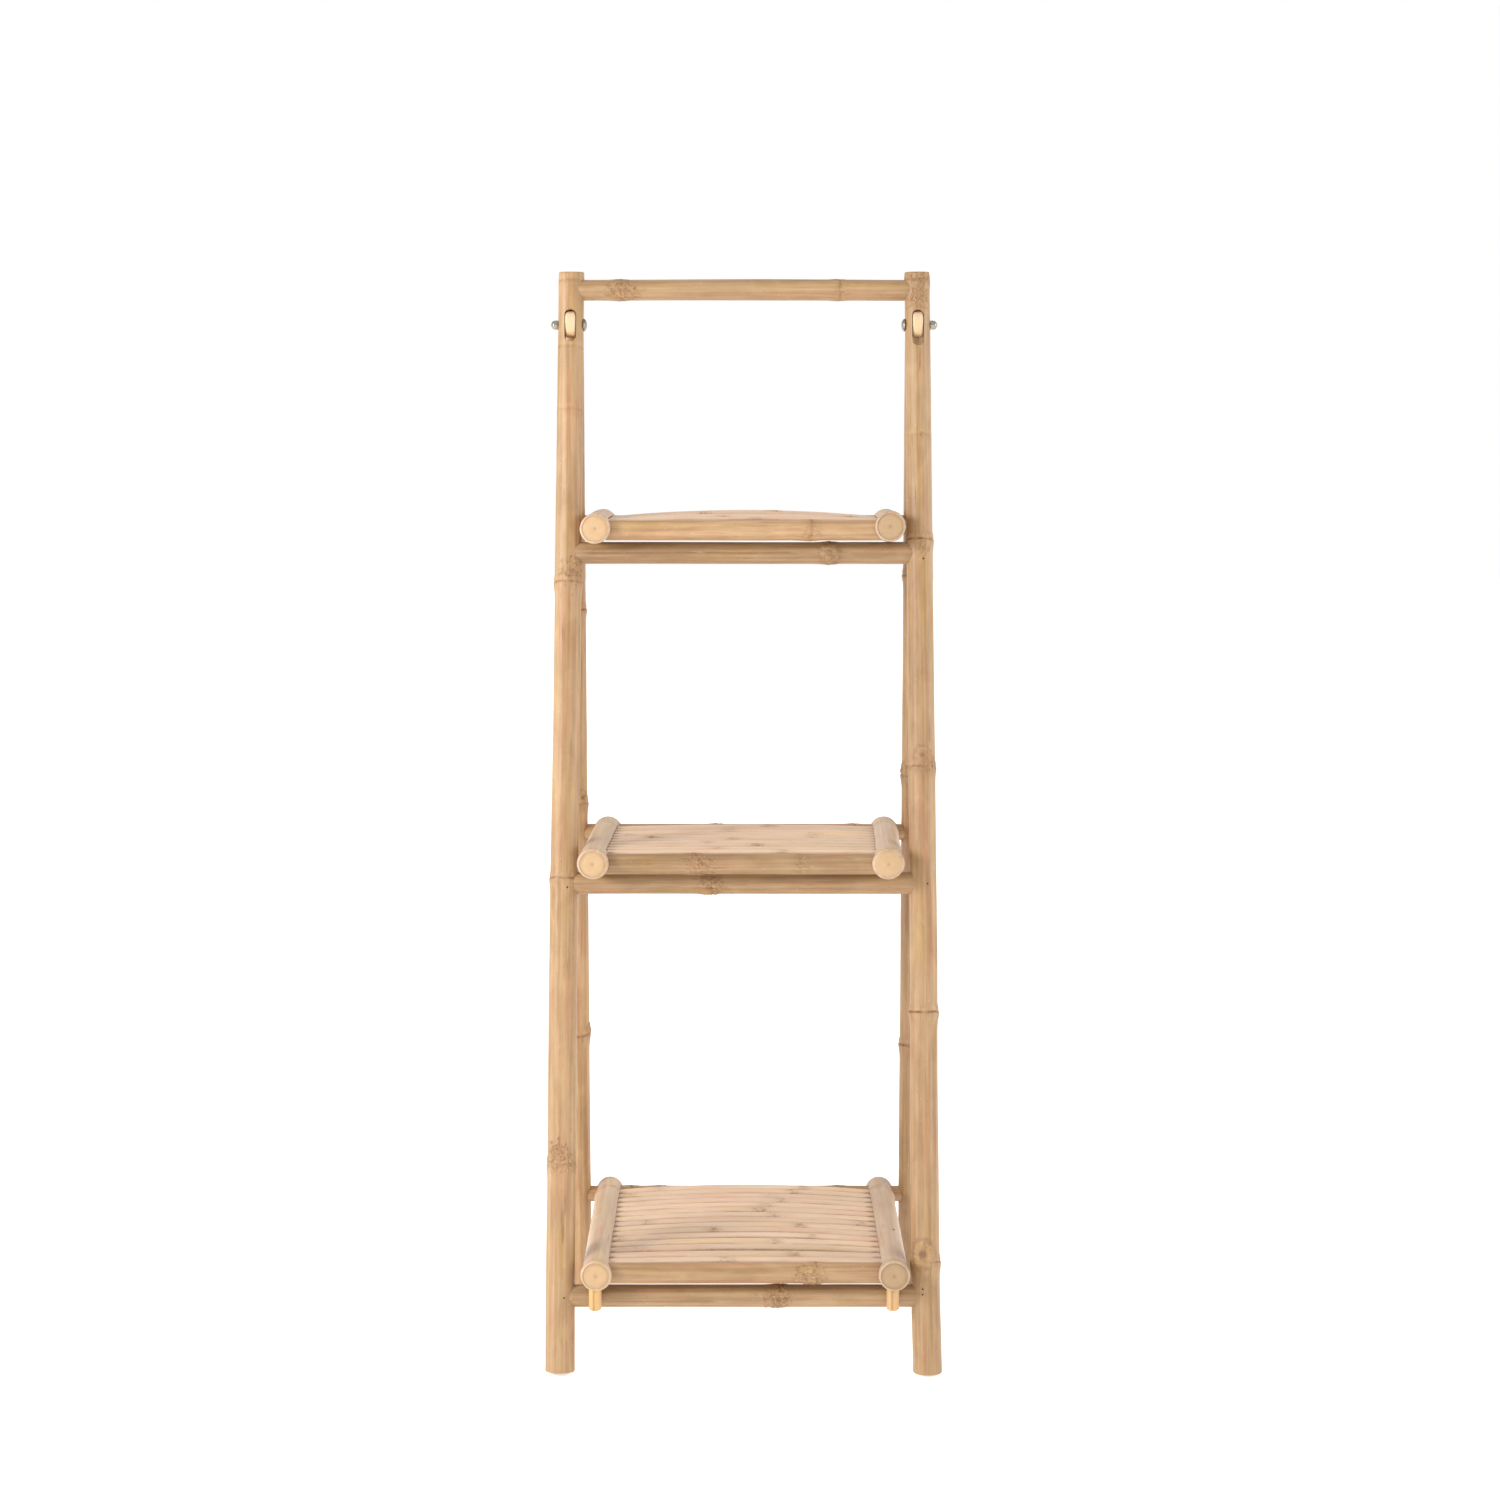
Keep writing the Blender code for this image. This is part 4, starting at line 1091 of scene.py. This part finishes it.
def build_cap_nut(side):
    """Acorn nut: six flats below a dome."""
    low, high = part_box("hinge_cap_nut_" + side)
    sign = SIDE_SIGN[side]
    middle = (low + high) / 2
    radius = (high.z - low.z) / 2
    seat = high.x if sign < 0 else low.x
    height = high.x - low.x
    dome = radius * NUT_DOME
    rows = [(0.0, 0.0), (radius, 0.0), (radius, height * 0.36), (dome, height * 0.42)]
    rows += [(dome * math.cos(turn), height * (0.46 + 0.54 * math.sin(turn)))
             for turn in quarter_turn(8)]
    bm = spin_profile(rows, 48)
    for vert in bm.verts:
        reach = math.hypot(vert.co.x, vert.co.y)
        if reach > dome * 1.02:
            turn = math.atan2(vert.co.y, vert.co.x) % (math.pi / 3) - math.pi / 6
            flat = radius * math.cos(math.pi / 6) / math.cos(turn)
            vert.co.x *= min(1.0, flat / reach)
            vert.co.y *= min(1.0, flat / reach)
    bmesh.ops.recalc_face_normals(bm, faces=bm.faces)
    metal_piece(bm, "cap_nut_" + side, "hinge_cap_nut_" + side,
                (seat, middle.y, middle.z), sign)


def on_post(side, height, aside):
    """A place on the front of a post, aside from its middle, and the way out."""
    start, end, radii = pole_line("front_post_" + side, DOWN, UP, (0, 0))
    culm = CULMS["front_post_" + side]
    share = height / (end.z - start.z)
    length = (end - start).length
    axis = start.lerp(end, share) + sway_at(culm.sway, share)
    radius = radii[0] + (radii[1] - radii[0]) * share
    turn = math.asin(aside / radius)
    radius += skin_rise(culm, length, share * length, turn, radius)
    outward = Vector((math.sin(turn), -math.cos(turn), 0.0))
    return axis + outward * radius, outward


def add_nail(bm, seat, outward, rise, radius):
    add_rod(bm, seat - outward * NAIL_LENGTH, seat + outward * rise, radius, 12)


def build_nails():
    """Small nail heads that pin the rungs."""
    bm = bmesh.new()
    for side, height, aside in RUNG_NAILS:
        seat, outward = on_post(side, height, aside)
        add_nail(bm, seat, outward, NAIL_RISE, NAIL_RADIUS)
    obj = make_object(bm, "rung_nails", [material("nail_steel")])
    finish_piece(obj, "front_frame", [])


# ---------------------------------------------------------------- the trays

def rail_line(tray, side):
    return pole_line(f"{tray}_tray_rail_{side}", (0.0, -1.0, 0.0), (0.0, 1.0, 0.0), (1, 1))


def build_rail_nail():
    """Nail head on the upper outer side of the bottom tray's right rail."""
    start, end, radii = rail_line("bottom", "right")
    share = (RAIL_NAIL_Y - start.y) / (end.y - start.y)
    outward = Vector((math.sin(RAIL_NAIL_TURN), 0.0, math.cos(RAIL_NAIL_TURN)))
    seat = start.lerp(end, share) + outward * (radii[0] + (radii[1] - radii[0]) * share)
    bm = bmesh.new()
    add_nail(bm, seat, outward, RAIL_NAIL_RISE, RAIL_NAIL_RADIUS)
    obj = make_object(bm, "rail_nail", [material("nail_steel")])
    finish_piece(obj, "bottom_tray", [])


def rail_culm(name, length, seed):
    front, back = RAIL_MARKS[name]
    nodes = (Node(FRONT_RING / length, *front), Node(1.0 - BACK_RING / length, *back))
    ahead, behind = RAIL_SWAY[name]
    level = tuple(0.0 if axis == 2 else (ahead[axis] + behind[axis]) / 2
                  for axis in range(3))
    share = FRONT_BEND / length
    near = tuple(ahead[axis] * (1.0 - share) + level[axis] * share if axis < 2 else 0.0
                 for axis in range(3))
    return Culm(nodes, (), (), ((0.0, ahead), (share, near), (0.5, level), (1.0, behind)),
                seed)


def build_rail(tray, side, index):
    """Side rail, drilled for the rear rung and notched for each slat."""
    name = f"{tray}_tray_rail_{side}"
    start, end, radii = rail_line(tray, side)
    cutters = bmesh.new()
    rung_start, _, rung_radii = across_line("rear_rung_" + tray)
    centre = Vector((start.x, rung_start.y, rung_start.z))
    reach = Vector((3.0 * radii[0], 0.0, 0.0))
    add_rod(cutters, centre - reach, centre + reach, rung_radii[0] + TURN_GAP)
    for slat in range(SLAT_COUNT[tray]):
        low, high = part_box(f"{tray}_tray_slat_{slat + 1:02d}")
        tip = low.x if side == "left" else high.x
        thickness = frame_slat_thickness(tray, slat)
        size = (2.0 * radii[0], high.y - low.y - 0.0002, thickness + 2 * NOTCH_PLAY)
        inward = -SIDE_SIGN[side]
        tip -= inward * REST_GAP
        add_block(cutters, Vector((tip + inward * radii[0], (low.y + high.y) / 2,
                                   low.z + thickness / 2 + 0.0003)), size)
    culm = rail_culm(name, (end - start).length, 101.0 + 7.3 * index)
    front = "dome" if name in DOMED_RAILS else "septum"
    build_culm(name, (start, end, radii), DOWN, (front, "dome"), tray + "_tray",
               [material("rail_skin"), material("sawn_end")],
               culm=culm, cutters=cutters)


def frame_slat_thickness(tray, slat):
    """Thickness of a CAD slat at its ends, where its points lie lowest."""
    points = solid_points(f"{tray}_tray_slat_{slat + 1:02d}")
    tip = max(point.x for point in points)
    ends = [point.z for point in points if point.x > tip - RING_DEPTH * 3]
    return max(ends) - min(ends)


def seam_share(tray, index, x):
    """How far the seam in front of a slat stands open at a place, 0 to 1."""
    start, stop = SEAMS.get((tray, index), (0.0, 0.0))
    middle, half = (start + stop) / 2, (stop - start) / 2
    return smooth((half - abs(x - middle)) / SEAM_FADE) if half else 0.0


def build_slat(tray, index):
    """Split bamboo strip: crowned, bowed, a little uneven and marked where it had nodes."""
    settings = bpy.context.scene.shelf
    node = f"{tray}_tray_slat_{index + 1:02d}"
    low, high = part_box(node)
    thickness = frame_slat_thickness(tray, index)
    seed = SLAT_SEED[tray] + 3.7 * index
    half, width = (high.x - low.x) / 2, high.y - low.y
    camber = (high.z - low.z - thickness) * (
        CAMBER_FRONT + (1.0 - CAMBER_FRONT) * smooth((index + 0.5) / CAMBER_SLATS))
    narrow = 0.0003 + 0.0005 * abs(noise.noise(Vector((seed, 0.3, 0.7))))
    bend = 0.0006 * noise.noise(Vector((seed, 2.1, 0.4)))
    lift = 0.0008 * noise.noise(Vector((seed, 5.2, 1.4)))
    spots = slat_spots(tray, index)
    bm = bmesh.new()
    bmesh.ops.create_grid(bm, x_segments=settings.strip_steps, y_segments=12, size=1.0)
    for vert in bm.verts:
        along, across = vert.co.x, vert.co.y
        x = along * half
        edge = 0.00035 * noise.noise(Vector((x * 14.0, seed, across * 0.4)))
        y = across * (width / 2 - narrow) + edge + bend * (1.0 - along * along)
        y += SEAM_OPEN * seam_share(tray, index, x) * smooth(-across)
        arch = -settings.slat_crown * across * across
        arch -= SLAT_TAPER * smooth((abs(across) - 0.80) / 0.20) ** 2
        rise = (camber + lift * 0.7) * (1.0 - along * along)
        arch += 0.00018 * noise.noise(Vector((x * 22.0, across * 2.0, seed)))
        arch += sum(SPOT_RISE * strength * math.exp(-((x - place) / SPOT_REACH) ** 2)
                    for place, strength in spots)
        vert.co = ((low.x + high.x) / 2 + x, (low.y + high.y) / 2 + y,
                   low.z + thickness - SLAT_LIFT + rise + arch)
    bmesh.ops.solidify(bm, geom=bm.faces[:], thickness=thickness - SLAT_TAPER)
    bmesh.ops.recalc_face_normals(bm, faces=bm.faces)
    obj = make_object(bm, "strip_" + node, [material("slat_skin")])
    paint_slat(obj, tray, index, (low + high) / 2, (half, width / 2), seed, spots)
    finish_piece(obj, tray + "_tray", [node])


def slat_spots(tray, index):
    """Places and strengths of a strip's node marks, spread as on split culms."""
    seed = SLAT_SEED[tray] + index * 5.31
    spots = []
    place = -0.30 + 0.24 * (0.5 + noise.noise(Vector((seed, 1.7, 3.3))))
    while place < 0.15:
        if place > -0.145:
            spots.append((place, 0.45 + 1.2 * abs(noise.noise(Vector((seed, place * 9, 0.0))))))
        place += 0.22 + 0.12 * noise.noise(Vector((seed, place * 31.0, 8.0)))
    return spots


def paint_slat(obj, tray, index, middle, halves, seed, spots):
    """Masks of a strip: painted shade along its seams and where it goes into its rails, node
    marks and its own paleness.
    """
    mesh = obj.data
    where, marks, shade = new_attributes(mesh)
    own = 0.35 + 0.6 * noise.noise(Vector((seed * 1.7, 4.4, 2.2)))
    tone = 1.0 + 0.13 * noise.noise(Vector((seed * 2.3, 1.4, 6.2)))
    for number, vert in enumerate(mesh.vertices):
        x, across = vert.co.x - middle.x, vert.co.y - middle.y
        where.data[number].vector = (across, vert.co.z, x + seed)
        share = abs(across) / halves[1]
        # Painted shade: the strip's long edges are darkened where the seams between strips lie
        # in shadow, more where a seam stands open.
        seam_shade = 0.55 + 0.5 * noise.noise(Vector((x * 25.0, seed, across * 40.0)))
        dark = seam_shade * smooth((share - 0.90) / 0.06)
        if across < 0.0:
            dark *= 1.0 + 1.2 * seam_share(tray, index, x)
        # Painted shade where the strip goes into its rail.
        ends = math.exp(-((halves[0] - SLAT_TUCK - abs(x)) / SLAT_END) ** 2)
        dark = max(dark, 0.7 * ends * smooth((share - 0.5) / 0.4))
        patch = 0.0
        for place, strength in spots:
            gap = x - place + 0.25 * across
            dark = max(dark, 0.25 * strength * math.exp(-(gap / 0.0016) ** 2))
            patch = max(patch, strength * math.exp(-(gap / 0.0085) ** 2))
        marks.data[number].vector = (min(1.0, dark), min(1.0, patch), max(0.0, own))
        shade.data[number].value = tone


def build_peg(side):
    """Split peg with a rounded lower end, let into the rail."""
    name = "bottom_tray_peg_" + side
    line = pole_line(name, DOWN, UP, (1, 1))
    culm = Culm((), (), (Streak(-0.2, 1.2, -10.0, 0.0003),), STRAIGHT,
                501.0 + SIDE_SIGN[side] * 3.0)
    build_culm(name, line, BACK, ("round", "cut"), "bottom_tray",
               [material("split_peg"), material("split_peg")], culm=culm)


class ShelfTray(bpy.types.Operator):
    """Builds one tray: two side rails, a front bar, its slats, and pegs if it has them"""

    bl_idname = "shelf.tray"
    bl_label = "Tray"

    tray: bpy.props.EnumProperty(
        name="Tray", description="Which of the three trays to build",
        items=[(tray, tray.capitalize(), "") for tray in TRAYS], default="bottom")

    def execute(self, context):
        for side in SIDES:
            index = TRAYS.index(self.tray) * 2 + SIDES.index(side)
            build_rail(self.tray, side, index)
            if f"{self.tray}_tray_peg_{side}" in frame["nodes"]:
                build_peg(side)
        if self.tray == "bottom":
            build_rail_nail()
        build_cross_poles([self.tray + "_tray_front_bar"], self.tray + "_tray")
        for index in range(SLAT_COUNT[self.tray]):
            build_slat(self.tray, index)
        return {"FINISHED"}


# ---------------------------------------------------------------- the studio

class ShelfStage(bpy.types.Operator):
    """Builds the pale floor, the soft lights and the camera"""

    bl_idname = "shelf.stage"
    bl_label = "Studio"

    def execute(self, context):
        build_floor()
        build_world()
        for light in SOFT_LIGHTS:
            build_soft_light(*light)
        build_camera()
        context.scene.view_settings.view_transform = "Standard"
        return {"FINISHED"}


def build_floor():
    bm = bmesh.new()
    bmesh.ops.create_grid(bm, x_segments=1, y_segments=1, size=FLOOR_REACH)
    bmesh.ops.translate(bm, verts=bm.verts, vec=(0.0, 0.0, -FLOOR_DROP))
    floor_material, _, shader = new_material("pale_floor")
    shader.inputs["Base Color"].default_value = (FLOOR_GREY, FLOOR_GREY, FLOOR_GREY, 1.0)
    shader.inputs["Roughness"].default_value = 0.9
    shader.inputs["Specular IOR Level"].default_value = 0.1
    shader.inputs["Emission Color"].default_value = (1.0, 1.0, 1.0, 1.0)
    shader.inputs["Emission Strength"].default_value = FLOOR_GLOW
    floor = make_object(bm, "studio_floor", [floor_material])


def build_world():
    world = bpy.data.worlds.new("studio")
    bpy.context.scene.world = world
    world.use_nodes = True
    sky = world.node_tree.nodes["Background"]
    sky.inputs["Color"].default_value = (1.0, 1.0, 1.0, 1.0)
    sky.inputs["Strength"].default_value = 1.0


def build_soft_light(name, place, size, power):
    light = bpy.data.lights.new(name, "AREA")
    light.shape = "DISK"
    light.size = size
    light.energy = power
    obj = bpy.data.objects.new(name, light)
    obj.location = place
    aim = LIGHTS_AIM - Vector(place)
    obj.rotation_euler = aim.to_track_quat("-Z", "Y").to_euler()
    bpy.context.scene.collection.objects.link(obj)


def build_camera():
    camera = bpy.data.cameras.new("studio_camera")
    camera.lens = CAMERA_LENS
    camera.sensor_width = 36.0
    obj = bpy.data.objects.new("studio_camera", camera)
    front = end_ring(solid_points("front_post_left"), DOWN)[0].y
    obj.location = (CAMERA_ASIDE, front - CAMERA_AHEAD, CAMERA_HEIGHT)
    obj.rotation_euler = (CAMERA_TILT, 0.0, 0.0)
    bpy.context.scene.collection.objects.link(obj)
    bpy.context.scene.camera = obj


class ShelfPanel(bpy.types.Panel):
    """Lists the shelf's settings and the steps that build it"""

    bl_idname = "VIEW3D_PT_ladder_shelf"
    bl_label = "Ladder shelf"
    bl_space_type = "VIEW_3D"
    bl_region_type = "UI"
    bl_category = "Ladder Shelf"

    def draw(self, context):
        column = self.layout.column()
        for key in ShelfSettings.__annotations__:
            column.prop(context.scene.shelf, key)
        for step in (ShelfFrontFrame, ShelfRearFrame, ShelfHinges, ShelfStage):
            column.operator(step.bl_idname)
        for tray in TRAYS:
            column.operator(ShelfTray.bl_idname, text=f"{tray.capitalize()} tray").tray = tray


CLASSES = (ShelfSettings, ShelfFrontFrame, ShelfRearFrame, ShelfHinges, ShelfTray,
           ShelfStage, ShelfPanel)


def register():
    for item in CLASSES:
        bpy.utils.register_class(item)
    bpy.types.Scene.shelf = bpy.props.PointerProperty(type=ShelfSettings)


def unregister():
    del bpy.types.Scene.shelf
    for item in reversed(CLASSES):
        bpy.utils.unregister_class(item)


def main():
    register()
    build_materials()
    bpy.ops.shelf.front_frame()
    bpy.ops.shelf.rear_frame()
    bpy.ops.shelf.hinges()
    for tray in TRAYS:
        bpy.ops.shelf.tray(tray=tray)
    bpy.ops.shelf.stage()


if __name__ == "__main__":
    main()
